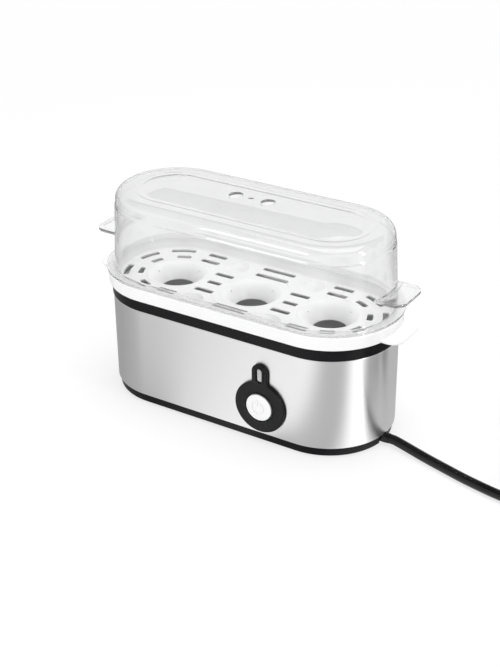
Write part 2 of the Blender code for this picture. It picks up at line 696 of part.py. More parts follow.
def top_rim():
    lip_outer = STEEL_INNER - SEAT_GAP
    lip_inner = lip_outer - RIM_LIP_WALL
    low = STEEL_HIGH + SEAT_GAP
    rim = obround_part("top_rim", closed([
        (RIM_RADIUS, low),
        (lip_outer, low),
        (lip_outer, STEEL_HIGH - RIM_LIP_DEPTH),
        (lip_inner, STEEL_HIGH - RIM_LIP_DEPTH),
        (lip_inner, STEEL_HIGH),
        (RIM_LEDGE_RADIUS, STEEL_HIGH),
        (RIM_LEDGE_RADIUS, LEDGE_TOP),
        (RIM_INNER, LEDGE_TOP),
        (RIM_INNER, RIM_TOP - RIM_EDGE / 2),
        (RIM_INNER + RIM_EDGE / 2, RIM_TOP),
        (RIM_RADIUS - RIM_EDGE, RIM_TOP),
        (RIM_RADIUS, RIM_TOP - RIM_EDGE),
    ]), BLACK_PLASTIC)
    post_low = BASE_LIP_TOP + SEAT_GAP
    for i, (x, y) in enumerate(post_places()):
        join(rim, rod(f"post_{i + 1}", POST_RADIUS, STEEL_HIGH + RIM_LEDGE / 2 - post_low, BLACK_PLASTIC,
                      (x, y, post_low), steps=12))
    for i, (x, y) in enumerate(post_places()):
        cut(rim, rod(f"pilot_{i + 1}", SCREW_RADIUS + SCREW_CLEARANCE, SCREW_GRIP + OVERRUN + SCREW_RADIUS,
                     BLACK_PLASTIC, (x, y, BASE_LIP_TOP - OVERRUN), steps=12))
    return rim


# Pan and heater

def heating_pan():
    flange = RIM_INNER - PAN_CLEARANCE
    foot = PAN_RADIUS - PAN_DRAFT
    return obround_part("heating_pan", [
        (0, PAN_FLOOR_TOP),
        (foot - PAN_SHEET - PAN_CORNER, PAN_FLOOR_TOP),
        (foot - PAN_SHEET, PAN_FLOOR_TOP + PAN_CORNER),
        (PAN_RADIUS - PAN_SHEET, PAN_FLANGE_TOP),
        (flange, PAN_FLANGE_TOP),
        (flange, PAN_FLANGE_LOW),
        (PAN_RADIUS, PAN_FLANGE_LOW),
        (foot, PAN_UNDERSIDE + PAN_CORNER),
        (foot - PAN_CORNER, PAN_UNDERSIDE),
        (0, PAN_UNDERSIDE),
    ], PAN_COATING)


def pan_seal():
    outer = RIM_INNER - PAN_CLEARANCE - SEAT_GAP
    low = LEDGE_TOP + SEAT_GAP
    return obround_part("pan_seal", closed([
        (outer, low + SEAL_HEIGHT),
        (outer, low),
        (outer - SEAL_WIDTH, low),
        (outer - SEAL_WIDTH, low + SEAL_HEIGHT),
    ]), SILICONE)


def heating_element():
    """A tubular heater under the pan: an open loop whose two ends turn down at the front."""
    points = [Vector((ELEMENT_GAP / 2, -ELEMENT_LINE, ELEMENT_HEIGHT - ELEMENT_LEG))]
    points.append(Vector((ELEMENT_GAP / 2, -ELEMENT_LINE, ELEMENT_HEIGHT - ELEMENT_LEG / 3)))
    points.append(Vector((ELEMENT_GAP / 2 + ELEMENT_LEG / 3, -ELEMENT_LINE, ELEMENT_HEIGHT)))
    points += [Vector((x, y, ELEMENT_HEIGHT)) for x, y in arc(ELEMENT_SPAN, 0, ELEMENT_LINE, -90, 90, 12)]
    mirrored = [Vector((-p.x, p.y, p.z)) for p in reversed(points)]
    return tube("heating_element", points + mirrored, ELEMENT_RADIUS, BARE_METAL)


def element_blades():
    top = ELEMENT_HEIGHT - ELEMENT_LEG - SEAT_GAP
    for name, side in (("element_blade_left", -1), ("element_blade_right", 1)):
        x = side * ELEMENT_GAP / 2
        block(name, (x - BLADE_WIDTH / 2, -ELEMENT_LINE - BLADE_THICKNESS / 2, top - BLADE_LENGTH),
              (x + BLADE_WIDTH / 2, -ELEMENT_LINE + BLADE_THICKNESS / 2, top), BARE_METAL)


def thermostat():
    top = PAN_UNDERSIDE - SEAT_GAP
    neck = top - THERMOSTAT_CAP
    low = neck - THERMOSTAT_HEIGHT
    body = turned_part("thermostat", [
        (0, top), (THERMOSTAT_RADIUS, top), (THERMOSTAT_RADIUS, neck), (THERMOSTAT_NECK_RADIUS, neck),
        (THERMOSTAT_NECK_RADIUS, low), (0, low),
    ], BARE_METAL, (0, 0, 0), steps=20)
    for side in (-1, 1):
        y = side * THERMOSTAT_NECK_RADIUS / 2
        join(body, block(f"thermostat_blade_{side + 2}",
                         (-BLADE_WIDTH / 2, y - BLADE_THICKNESS / 2, low - BLADE_LENGTH),
                         (BLADE_WIDTH / 2, y + BLADE_THICKNESS / 2, low + SINK), BARE_METAL))
    return body


def thermostat_clip():
    """A sheet strip with a hole for the thermostat's neck, turned up to the pan at both ends."""
    top = PAN_UNDERSIDE - SEAT_GAP
    wing = top - CLIP_SHEET
    hold = top - THERMOSTAT_CAP - SEAT_GAP
    inner = THERMOSTAT_RADIUS + SEAT_GAP
    outline = [
        (-CLIP_REACH, top), (-inner - CLIP_SHEET, top), (-inner, hold), (inner, hold),
        (inner + CLIP_SHEET, top), (CLIP_REACH, top), (CLIP_REACH, wing), (inner + 2 * CLIP_SHEET, wing),
        (inner + CLIP_SHEET, hold - CLIP_SHEET), (-inner - CLIP_SHEET, hold - CLIP_SHEET),
        (-inner - 2 * CLIP_SHEET, wing), (-CLIP_REACH, wing),
    ]
    clip = through_front("thermostat_clip", outline, 2 * THERMOSTAT_RADIUS + CLIP_WIDTH / 4, BARE_METAL,
                         THERMOSTAT_RADIUS + CLIP_WIDTH / 8)
    cut(clip, rod("clip_bore", THERMOSTAT_NECK_RADIUS + SEAT_GAP, THERMOSTAT_HEIGHT + OVERRUN, BARE_METAL,
                  (0, 0, hold - CLIP_SHEET - OVERRUN), steps=20))
    return clip


def fuse_place():
    return Vector((-CLIP_REACH - FUSE_LENGTH, ELEMENT_LINE / 3, PAN_UNDERSIDE - SEAT_GAP - FUSE_RADIUS))


def thermal_fuse():
    return rod("thermal_fuse", FUSE_RADIUS, FUSE_LENGTH, BARE_METAL, fuse_place(), SIDE_TURN, steps=12)


def earth_tab():
    """A blade welded under the pan for the earth wire."""
    top = PAN_UNDERSIDE - SEAT_GAP
    y = -ELEMENT_LINE / 3
    return block("earth_tab", (EARTH_X - BLADE_WIDTH / 2, y - BLADE_THICKNESS / 2, top - BLADE_LENGTH),
                 (EARTH_X + BLADE_WIDTH / 2, y + BLADE_THICKNESS / 2, top), BRASS)


# Tray

def tab_outline(root_radius, reach, border=0.0):
    """The right-hand grip tab: an arc that follows the wall at its root, and a tip with round corners."""
    tip = EGG_PITCH + root_radius + reach - border
    half = TAB_HALF_WIDTH - border
    corner = TAB_CORNER - border
    spread = math.degrees(math.asin(half / (root_radius + border)))
    root = arc(EGG_PITCH, 0, root_radius + border, spread, -spread, TAB_STEPS)
    lower = arc(tip - corner, -half + corner, corner, -90, 0, TAB_STEPS)
    upper = arc(tip - corner, half - corner, corner, 0, 90, TAB_STEPS)
    return root + lower + upper


def add_tabs(piece, name, outline, low, high, finish):
    for side in (1, -1):
        tab = plate(f"{name}_{'right' if side > 0 else 'left'}", outline, high - low, finish)
        turn_round = Matrix.Rotation(0 if side > 0 else math.pi, 4, "Z")
        tab.data.transform(Matrix.Translation((0, 0, (low + high) / 2)) @ turn_round)
        join(piece, tab)


def cup_profile():
    """A cup's inner face: a soft lip, then a funnel down to the throat, and its outer face a wall away."""
    span = CUP_MOUTH_RADIUS - CUP_THROAT_RADIUS
    top = TRAY_FLOOR_TOP + CUP_LIP
    inner = [(CUP_THROAT_RADIUS + span * out, top - CUP_DEPTH * down) for out, down in CUP_FALL_SHARES]
    outer = [(radius + TRAY_SHEET * out, height - TRAY_SHEET * down) for (radius, height), out, down in (
        (inner[-1], 0.4, 0.9), (inner[-2], 0.9, 0.45), (inner[-3], 0.75, 0.7), (inner[0], 0, 1.3))]
    return closed(inner + outer)


def cup_places():
    return [(side * EGG_PITCH, 0) for side in (-1, 0, 1)]


def dimple_places():
    return [(x, y) for x in (-EGG_PITCH / 2, EGG_PITCH / 2) for y in (-DIMPLE_LINE, DIMPLE_LINE)]


def dimple_profile():
    top = TRAY_FLOOR_TOP + CUP_LIP / 2
    inner = [(DIMPLE_RADIUS * out, top - DIMPLE_DEPTH * down) for out, down in DIMPLE_FALL_SHARES]
    under = top - TRAY_SHEET
    outer = [(DIMPLE_RADIUS * out, under - DIMPLE_DEPTH * down) for out, down in DIMPLE_BACK_SHARES]
    return inner + outer + [inner[0]]


def arc_slot(centre_x, line, start_deg, end_deg):
    steps = max(2, round((end_deg - start_deg) / ARC_SLOT_STEP_DEG))
    far = arc(centre_x, 0, line + SLOT_WIDTH / 2, start_deg, end_deg, steps)
    near = arc(centre_x, 0, line - SLOT_WIDTH / 2, end_deg, start_deg, steps)
    return far + near


def straight_slot(x, y, length):
    """A slot along X."""
    half, wide = length / 2, SLOT_WIDTH / 2
    return [(x - half, y - wide), (x + half, y - wide), (x + half, y + wide), (x - half, y + wide)]


def ring_slots(line, arc_spans_deg):
    """One line of slots round the tray: straight ones beside the cups and curved ones round the ends."""
    side_x = EGG_PITCH - SIDE_SLOT_INSET
    for y in (-line, line):
        yield straight_slot(0, y, MIDDLE_SLOT_LENGTH)
        yield straight_slot(-side_x, y, SIDE_SLOT_LENGTH)
        yield straight_slot(side_x, y, SIDE_SLOT_LENGTH)
    for start, end in arc_spans_deg:
        for low, high in ((start, end), (-end, -start)):
            yield arc_slot(EGG_PITCH, line, low, high)
            yield arc_slot(-EGG_PITCH, line, low + 180, high + 180)


def bridge_slots():
    """The short slots between two cups."""
    for x in (-EGG_PITCH / 2, EGG_PITCH / 2):
        yield straight_slot(x, -BRIDGE_SLOT_PITCH, BRIDGE_SLOT_LENGTH)
        yield straight_slot(x, 0, BRIDGE_SHORT_SLOT_LENGTH)
        yield straight_slot(x, BRIDGE_SLOT_PITCH, BRIDGE_SLOT_LENGTH)


def slot_tool(name, outlines):
    bm = bmesh.new()
    low = TRAY_FLOOR_LOW - OVERRUN / 2
    for outline in outlines:
        face = bm.faces.new([bm.verts.new((x, y, low)) for x, y in outline])
        raised = bmesh.ops.extrude_face_region(bm, geom=[face])["geom"]
        moved = [item for item in raised if isinstance(item, bmesh.types.BMVert)]
        bmesh.ops.translate(bm, verts=moved, vec=(0, 0, TRAY_SHEET + OVERRUN))
    return part_from(bm, name, WHITE_PLASTIC)


def egg_tray():
    inner_foot = TRAY_INNER_LOW - TRAY_SHEET / 2
    skirt_outer = RIM_INNER - TRAY_SKIRT_CLEARANCE
    channel_inner = TRAY_INNER_LOW + TRAY_WALL
    tray = obround_part("egg_tray", [
        (0, TRAY_FLOOR_TOP),
        (inner_foot - TRAY_EDGE, TRAY_FLOOR_TOP),
        (inner_foot, TRAY_FLOOR_TOP + TRAY_EDGE),
        (TRAY_INNER_TOP, TRAY_TOP - TRAY_EDGE / 2),
        (TRAY_INNER_TOP + TRAY_EDGE / 2, TRAY_TOP),
        (TRAY_TOP_RADIUS - TRAY_EDGE, TRAY_TOP),
        (TRAY_TOP_RADIUS, TRAY_TOP - TRAY_EDGE),
        (TRAY_RADIUS, TRAY_LOW),
        (TRAY_RADIUS - TRAY_WALL, TRAY_LOW),
        (TRAY_TOP_RADIUS - TRAY_WALL, TRAY_TOP - TRAY_WALL),
        (channel_inner + TRAY_SHEET / 4, TRAY_TOP - TRAY_WALL),
        (channel_inner, TRAY_LOW),
        (skirt_outer, TRAY_LOW),
        (skirt_outer, TRAY_LOW - TRAY_SKIRT_DEPTH),
        (skirt_outer - TRAY_WALL, TRAY_LOW - TRAY_SKIRT_DEPTH),
        (skirt_outer - TRAY_WALL, TRAY_FLOOR_LOW),
        (0, TRAY_FLOOR_LOW),
    ], WHITE_PLASTIC)
    add_tabs(tray, "tray_tab", tab_outline(TRAY_RADIUS - TRAY_WALL / 2, TRAY_TAB_REACH + TRAY_WALL / 2),
             TRAY_LOW + SEAT_GAP, TRAY_LOW + SEAT_GAP + TRAY_TAB_THICKNESS, WHITE_PLASTIC)
    mouths, bowls = bmesh.new(), bmesh.new()
    opening = CUP_MOUTH_RADIUS - TRAY_SHEET / 2
    hollow = DIMPLE_RADIUS - TRAY_SHEET / 2
    low, high = TRAY_FLOOR_LOW - OVERRUN, TRAY_FLOOR_TOP + OVERRUN
    for x, y in cup_places():
        place = Matrix.Translation((x, y, 0))
        turn(mouths, [(0, high), (opening, high), (opening, low), (0, low)], place, CUP_STEPS)
        turn(bowls, cup_profile(), place, CUP_STEPS)
    for x, y in dimple_places():
        place = Matrix.Translation((x, y, 0))
        turn(mouths, [(0, high), (hollow, high), (hollow, low), (0, low)], place, DIMPLE_STEPS)
        turn(bowls, dimple_profile(), place, DIMPLE_STEPS)
    cut(tray, part_from(mouths, "cup_mouths", WHITE_PLASTIC))
    join(tray, part_from(bowls, "cup_bowls", WHITE_PLASTIC))
    ribs = bmesh.new()
    middle = (CUP_MOUTH_RADIUS + CUP_THROAT_RADIUS) / 2
    for x, y in cup_places():
        for i in range(CUP_RIB_COUNT):
            cube = bmesh.ops.create_cube(ribs, size=1)["verts"]
            size = (CUP_RIB_PROUD + 2 * TRAY_SHEET, CUP_RIB_WIDTH, CUP_RIB_LENGTH)
            turned = Matrix.Rotation(math.radians(CUP_RIB_START_DEG) + i * math.tau / CUP_RIB_COUNT, 4, "Z")
            out = Matrix.Translation((middle, 0, TRAY_FLOOR_TOP - CUP_DEPTH * CUP_RIB_DOWN_SHARE))
            lean = Matrix.Rotation(-math.radians(CUP_RIB_LEAN_DEG), 4, "Y")
            place = Matrix.Translation((x, y, 0)) @ turned @ out @ lean @ Matrix.Diagonal((*size, 1))
            bmesh.ops.transform(ribs, matrix=place, verts=cube)
    join(tray, part_from(ribs, "cup_ribs", WHITE_PLASTIC))
    cut(tray, slot_tool("inner_slots", ring_slots(INNER_SLOT_LINE, INNER_SLOT_SPANS_DEG)))
    cut(tray, slot_tool("outer_slots", ring_slots(OUTER_SLOT_LINE, OUTER_SLOT_SPANS_DEG)))
    cut(tray, slot_tool("bridge_slots", bridge_slots()))
    return tray


# Lid

def lid_wall_radius(height):
    """The drafted wall's outer radius at a height."""
    return LID_WALL_RADIUS - LID_DRAFT_SHARE * (height - LID_FLANGE_TOP)


def lid():
    shoulder_low = LID_RING - LID_SHOULDER
    step_height = shoulder_low - LID_STEP_DROP
    shoulder_line = lid_wall_radius(shoulder_low) - LID_STEP - LID_SHOULDER
    panel = LID_PANEL_RADIUS
    rise = LID_CROWN + LID_GROOVE
    crown = [(panel * out, LID_RING + LID_CROWN - rise * down) for out, down in LID_CROWN_SHARES]
    shoulder = arc(shoulder_line, shoulder_low, LID_SHOULDER, 90, 0, LID_SHOULDER_STEPS)
    skirt_outer = TRAY_INNER_LOW - LID_SKIRT_CLEARANCE
    skirt_low = LID_LOW - LID_SKIRT_DEPTH
    outer = [
        *crown,
        (panel + LID_GROOVE, LID_RING - LID_GROOVE),
        (panel + 2 * LID_GROOVE, LID_RING),
        *shoulder,
        (lid_wall_radius(step_height) - LID_STEP, step_height),
        (lid_wall_radius(step_height), step_height - LID_STEP),
        (lid_wall_radius(LID_FLANGE_TOP + LID_FLANGE_EDGE), LID_FLANGE_TOP + LID_FLANGE_EDGE),
        (LID_WALL_RADIUS + LID_FLANGE_EDGE, LID_FLANGE_TOP),
        (LID_FLANGE_RADIUS - LID_FLANGE_EDGE, LID_FLANGE_TOP),
        (LID_FLANGE_RADIUS, LID_FLANGE_TOP - LID_FLANGE_EDGE),
        (LID_FLANGE_RADIUS, LID_LOW + LID_FLANGE_EDGE),
        (LID_FLANGE_RADIUS - LID_FLANGE_EDGE, LID_LOW),
        (skirt_outer, LID_LOW),
        (skirt_outer, skirt_low),
    ]
    inner_shoulder = arc(shoulder_line, shoulder_low, LID_SHOULDER - LID_WALL, 0, 90, LID_SHOULDER_STEPS)
    inner = [
        (skirt_outer - LID_WALL, skirt_low),
        (lid_wall_radius(LID_FLANGE_TOP) - LID_WALL, LID_FLANGE_TOP),
        *inner_shoulder,
        (panel + 2 * LID_GROOVE - LID_WALL / 3, LID_RING - LID_WALL),
        *[(radius, height - LID_WALL) for radius, height in reversed(crown)],
    ]
    shell = obround_part("lid", outer + inner, CLEAR_PLASTIC)
    tab_top = LID_FLANGE_TOP + LID_TAB_HEIGHT
    tab_low = tab_top - LID_TAB_THICKNESS
    root = lid_wall_radius(tab_top) - LID_WALL / 2
    reach = TAB_REACH + LID_WALL / 2
    add_tabs(shell, "lid_tab", tab_outline(root, reach), tab_low, tab_top, CLEAR_PLASTIC)
    recess = tab_outline(root + LID_WALL / 2, TAB_REACH, LID_TAB_BORDER)
    for side in (1, -1):
        pocket = plate(f"tab_recess_{side + 2}", recess, LID_TAB_RECESS * 2, CLEAR_PLASTIC)
        turn_round = Matrix.Rotation(0 if side > 0 else math.pi, 4, "Z")
        pocket.data.transform(Matrix.Translation((0, 0, tab_top)) @ turn_round)
        cut(shell, pocket)
    for side in (1, -1):
        hole = arc(side * STEAM_HOLE_X, STEAM_HOLE_Y, STEAM_HOLE_HALF_WIDTH, 0, 360 - 360 / STEAM_HOLE_STEPS,
                   STEAM_HOLE_STEPS - 1, STEAM_HOLE_HALF_LENGTH)
        vent = plate(f"steam_hole_{side + 2}", hole, LID_CROWN + 2 * OVERRUN, CLEAR_PLASTIC)
        vent.data.transform(Matrix.Translation((0, 0, LID_RING + LID_CROWN / 2)))
        cut(shell, vent)
    cut(shell, turned_part("lid_dimple", [
        (0, OVERRUN), (2 * LID_DIMPLE_RADIUS, OVERRUN), (LID_DIMPLE_RADIUS, 0), (0, -LID_DIMPLE_DEPTH),
    ], CLEAR_PLASTIC, (0, 0, LID_RING + LID_CROWN), steps=LID_DIMPLE_STEPS))
    return shell


# Controls

def lens_outline(grow):
    """The upright outline round the lens, grown by a gap or by its frame."""
    return obround(CONTROL_X, LENS_CENTRE, LENS_HALF_WIDTH + grow, LENS_HALF_HEIGHT + grow)


def bezel_outline():
    """A disc with an upright tab that rises from it for the lamp."""
    start = math.degrees(math.acos(BEZEL_TAB_HALF_WIDTH / BEZEL_RADIUS))
    disc = arc(CONTROL_X, CONTROL_HEIGHT, BEZEL_RADIUS, 180 - start, 360 + start, 26)
    tip = CONTROL_HEIGHT + BEZEL_TAB_TOP - BEZEL_TAB_HALF_WIDTH
    return disc + arc(CONTROL_X, tip, BEZEL_TAB_HALF_WIDTH, 0, 180, 8)


def control_bezel():
    bezel = through_front("control_bezel", bezel_outline(), BEZEL_THICKNESS, BLACK_PLASTIC, FRONT)
    soften = bezel.modifiers.new("soft_edge", "BEVEL")
    soften.width = BEZEL_BEVEL
    soften.segments = 1
    soften.limit_method = "ANGLE"
    soften.angle_limit = math.radians(60)
    bore = BUTTON_RADIUS + BUTTON_CLEARANCE
    sleeve = bore + BEZEL_SLEEVE_WALL
    back = FRONT + BEZEL_SLEEVE_DEPTH
    place = (CONTROL_X, back, CONTROL_HEIGHT)
    length = back - COLLAR_FACE
    collar_edge = COLLAR_PROUD / 2
    collar_low = length - COLLAR_PROUD - SINK
    join(bezel, turned_part("bezel_sleeve", [
        (0, length), (COLLAR_RADIUS - collar_edge, length), (COLLAR_RADIUS, length - collar_edge),
        (COLLAR_RADIUS, collar_low), (sleeve, collar_low), (sleeve, 0), (0, 0),
    ], BLACK_PLASTIC, place, FRONT_TURN, steps=32))
    join(bezel, through_front("lens_frame", lens_outline(LENS_FRAME), LENS_FRAME_PROUD + SINK, BLACK_PLASTIC,
                              BEZEL_FACE + SINK))
    cut(bezel, turned_part("button_bore", [
        (0, length + OVERRUN), (bore + collar_edge + OVERRUN, length + OVERRUN), (bore, length - collar_edge),
        (bore, -OVERRUN), (0, -OVERRUN),
    ], BLACK_PLASTIC, place, FRONT_TURN, steps=32))
    through = BEZEL_THICKNESS + 2 * OVERRUN
    cut(bezel, through_front("lens_bore", lens_outline(SEAT_GAP), through, BLACK_PLASTIC, FRONT + OVERRUN))
    return bezel


def lens_back():
    return BEZEL_FACE + LENS_SUNK + LENS_DEPTH


def indicator_lens():
    return through_front("indicator_lens", lens_outline(0), LENS_DEPTH, CLEAR_PLASTIC, lens_back())


def lamp_place():
    """The lamp stands upright just behind the lens."""
    y = lens_back() + SEAT_GAP + HOLDER_WALL + LAMP_RADIUS
    return Vector((CONTROL_X, y, LENS_CENTRE - LAMP_LENGTH / 2))


def indicator_lamp():
    tip = LAMP_LENGTH
    return turned_part("indicator_lamp", [
        (0, tip),
        (LAMP_RADIUS / 2, tip - LAMP_RADIUS / 4),
        (LAMP_RADIUS, tip - LAMP_RADIUS),
        (LAMP_RADIUS, 0),
        (0, 0),
    ], AMBER, lamp_place(), steps=14)


def lamp_holder():
    """A moulded cup that slips over the back of the lens and holds the lamp behind it."""
    lamp = lamp_place()
    inner = LAMP_RADIUS + SEAT_GAP
    half = inner + HOLDER_WALL
    front = -STEEL_INNER + SEAT_GAP
    low = lamp.z - HOLDER_WALL
    high = LENS_CENTRE + LENS_HALF_HEIGHT + HOLDER_WALL + SEAT_GAP
    near, far = (CONTROL_X - half, front, low), (CONTROL_X + half, lamp.y + half, high)
    holder = block("lamp_holder", near, far, WHITE_PLASTIC)
    seat = (CONTROL_X, lamp.y, lamp.z - SEAT_GAP)
    cut(holder, rod("lamp_bore", inner, high - low + OVERRUN, WHITE_PLASTIC, seat, steps=14))
    reach = lamp.y - front + OVERRUN
    cut(holder, through_front("lens_back_bore", lens_outline(SEAT_GAP), reach, WHITE_PLASTIC, lamp.y))
    lead = (CONTROL_X, lamp.y, low - OVERRUN)
    cut(holder, rod("lamp_lead_bore", 2 * WIRE_RADIUS - SEAT_GAP, 2 * OVERRUN, WHITE_PLASTIC, lead, steps=10))
    return holder


def power_button():
    """The pushed cap and its stem, turned about the axis that it slides along. Its origin is on that axis."""
    length = STEM_END - BUTTON_FACE
    cap_low = length - BUTTON_DEPTH
    edge = BUTTON_CROWN + SINK
    return turned_part("power_button", [
        (0, length),
        (BUTTON_RADIUS / 2, length - BUTTON_CROWN / 4),
        (BUTTON_RADIUS - edge, length - BUTTON_CROWN),
        (BUTTON_RADIUS, length - BUTTON_CROWN - edge),
        (BUTTON_RADIUS, cap_low),
        (STEM_RADIUS, cap_low),
        (STEM_RADIUS, 0),
        (0, 0),
    ], WHITE_PLASTIC, (CONTROL_X, STEM_END, CONTROL_HEIGHT), FRONT_TURN, steps=32)


def switch_body():
    back = SWITCH_FRONT + SWITCH_DEPTH
    half, rise = SWITCH_WIDTH / 2, SWITCH_HEIGHT / 2
    body = block("switch_body", (CONTROL_X - half, SWITCH_FRONT, CONTROL_HEIGHT - rise),
                 (CONTROL_X + half, back, CONTROL_HEIGHT + rise), BLACK_PLASTIC)
    seat = (CONTROL_X, SWITCH_FRONT + SWITCH_BORE_DEPTH, CONTROL_HEIGHT)
    cut(body, rod("plunger_bore", STEM_RADIUS + SEAT_GAP, SWITCH_BORE_DEPTH + OVERRUN, BLACK_PLASTIC, seat,
                  FRONT_TURN, steps=14))
    for side in (-1, 1):
        x = CONTROL_X + side * half / 2
        low = (x - BLADE_THICKNESS / 2, back - SINK, CONTROL_HEIGHT - BLADE_WIDTH / 2)
        high = (x + BLADE_THICKNESS / 2, back + BLADE_LENGTH / 2, CONTROL_HEIGHT + BLADE_WIDTH / 2)
        join(body, block(f"switch_blade_{side + 2}", low, high, BRASS))
    return body


def switch_bracket():
    """A bent sheet bracket: its foot stands on the base under the switch and its riser faces the button."""
    riser_back = SWITCH_FRONT - SEAT_GAP
    riser_front = riser_back - BRACKET_SHEET
    low = BASE_FLOOR_TOP + SEAT_GAP
    top = CONTROL_HEIGHT + BRACKET_RISE_OVER
    back = SWITCH_FRONT + SWITCH_DEPTH
    foot = low + BRACKET_SHEET
    outline = [
        (riser_front, low), (back, low), (back, foot),
        (riser_back, foot), (riser_back, top), (riser_front, top),
    ]
    bracket = plate("switch_bracket", outline, BRACKET_WIDTH, BARE_METAL)
    upright = Matrix(((0, 0, 1, CONTROL_X), (1, 0, 0, 0), (0, 1, 0, 0), (0, 0, 0, 1)))
    bracket.data.transform(upright)
    cut(bracket, rod("stem_hole", STEM_RADIUS + SEAT_GAP, BRACKET_SHEET + 2 * OVERRUN, BARE_METAL,
                     (CONTROL_X, riser_back + OVERRUN, CONTROL_HEIGHT), FRONT_TURN, steps=14))
    return bracket


# Lead inside the housing

def strain_relief():
    length = SLEEVE_TIP_X - SLEEVE_INNER_X
    return turned_part("strain_relief", [
        (0, length), (SLEEVE_TIP_RADIUS - SEAT_GAP, length), (SLEEVE_TIP_RADIUS, length - SEAT_GAP),
        (SLEEVE_RADIUS, length / 2), (SLEEVE_RADIUS, 0), (0, 0),
    ], BLACK_PLASTIC, (SLEEVE_INNER_X, CORD_SIDE, CORD_HEIGHT), SIDE_TURN, steps=16)


def stub_height():
    """Inside, the lead rises just enough to lie on the base's floor."""
    return max(CORD_HEIGHT, BASE_FLOOR_TOP + SEAT_GAP + CORD_RADIUS)


def cord_stub():
    start = Vector((SLEEVE_INNER_X - SEAT_GAP, CORD_SIDE, stub_height()))
    end = start - Vector((CORD_STUB_LENGTH, 0, 0))
    return tube("cord_stub", smooth_route((start, end), 3), CORD_RADIUS, CORD_SHEATH)


def cord_clamp():
    """A saddle over the lead, screwed to the base on both sides of it."""
    low = BASE_FLOOR_TOP + SEAT_GAP
    middle = stub_height()
    gap = CORD_RADIUS + SEAT_GAP
    top = middle + gap + BRACKET_SHEET
    near, far = CLAMP_X - CLAMP_RIB, CLAMP_X + CLAMP_RIB
    left, right = CORD_SIDE - CLAMP_HALF_WIDTH, CORD_SIDE + CLAMP_HALF_WIDTH
    clamp = block("cord_clamp", (near, left, low), (far, right, top), BLACK_PLASTIC)
    cut(clamp, rod("clamp_groove", gap, far - near + 2 * OVERRUN, BLACK_PLASTIC,
                   (near - OVERRUN, CORD_SIDE, middle), SIDE_TURN, steps=16))
    cut(clamp, block("clamp_mouth", (near - OVERRUN, CORD_SIDE - gap, low - OVERRUN),
                     (far + OVERRUN, CORD_SIDE + gap, middle), BLACK_PLASTIC))
    for side in (-1, 1):
        seat = (CLAMP_X, CORD_SIDE + side * CLAMP_SCREW_REACH, low - OVERRUN)
        cut(clamp, rod(f"clamp_bore_{side + 2}", SCREW_RADIUS + SCREW_CLEARANCE, top - low + 2 * OVERRUN,
                       BLACK_PLASTIC, seat, steps=12))
    return clamp


def clamp_screws():
    low = BASE_FLOOR_TOP + SEAT_GAP
    top = stub_height() + CORD_RADIUS + BRACKET_SHEET + 2 * SEAT_GAP
    for i, side in enumerate((-1, 1)):
        turned_part(f"clamp_screw_{i + 1}", [
            (0, top + SCREW_HEAD),
            (SCREW_HEAD_RADIUS * 2 / 3, top + SCREW_HEAD),
            (SCREW_HEAD_RADIUS, top + SCREW_HEAD / 2),
            (SCREW_HEAD_RADIUS, top),
            (SCREW_RADIUS, top),
            (SCREW_RADIUS, low),
            (0, low),
        ], BARE_METAL, (CLAMP_X, CORD_SIDE + side * CLAMP_SCREW_REACH, 0), steps=12)


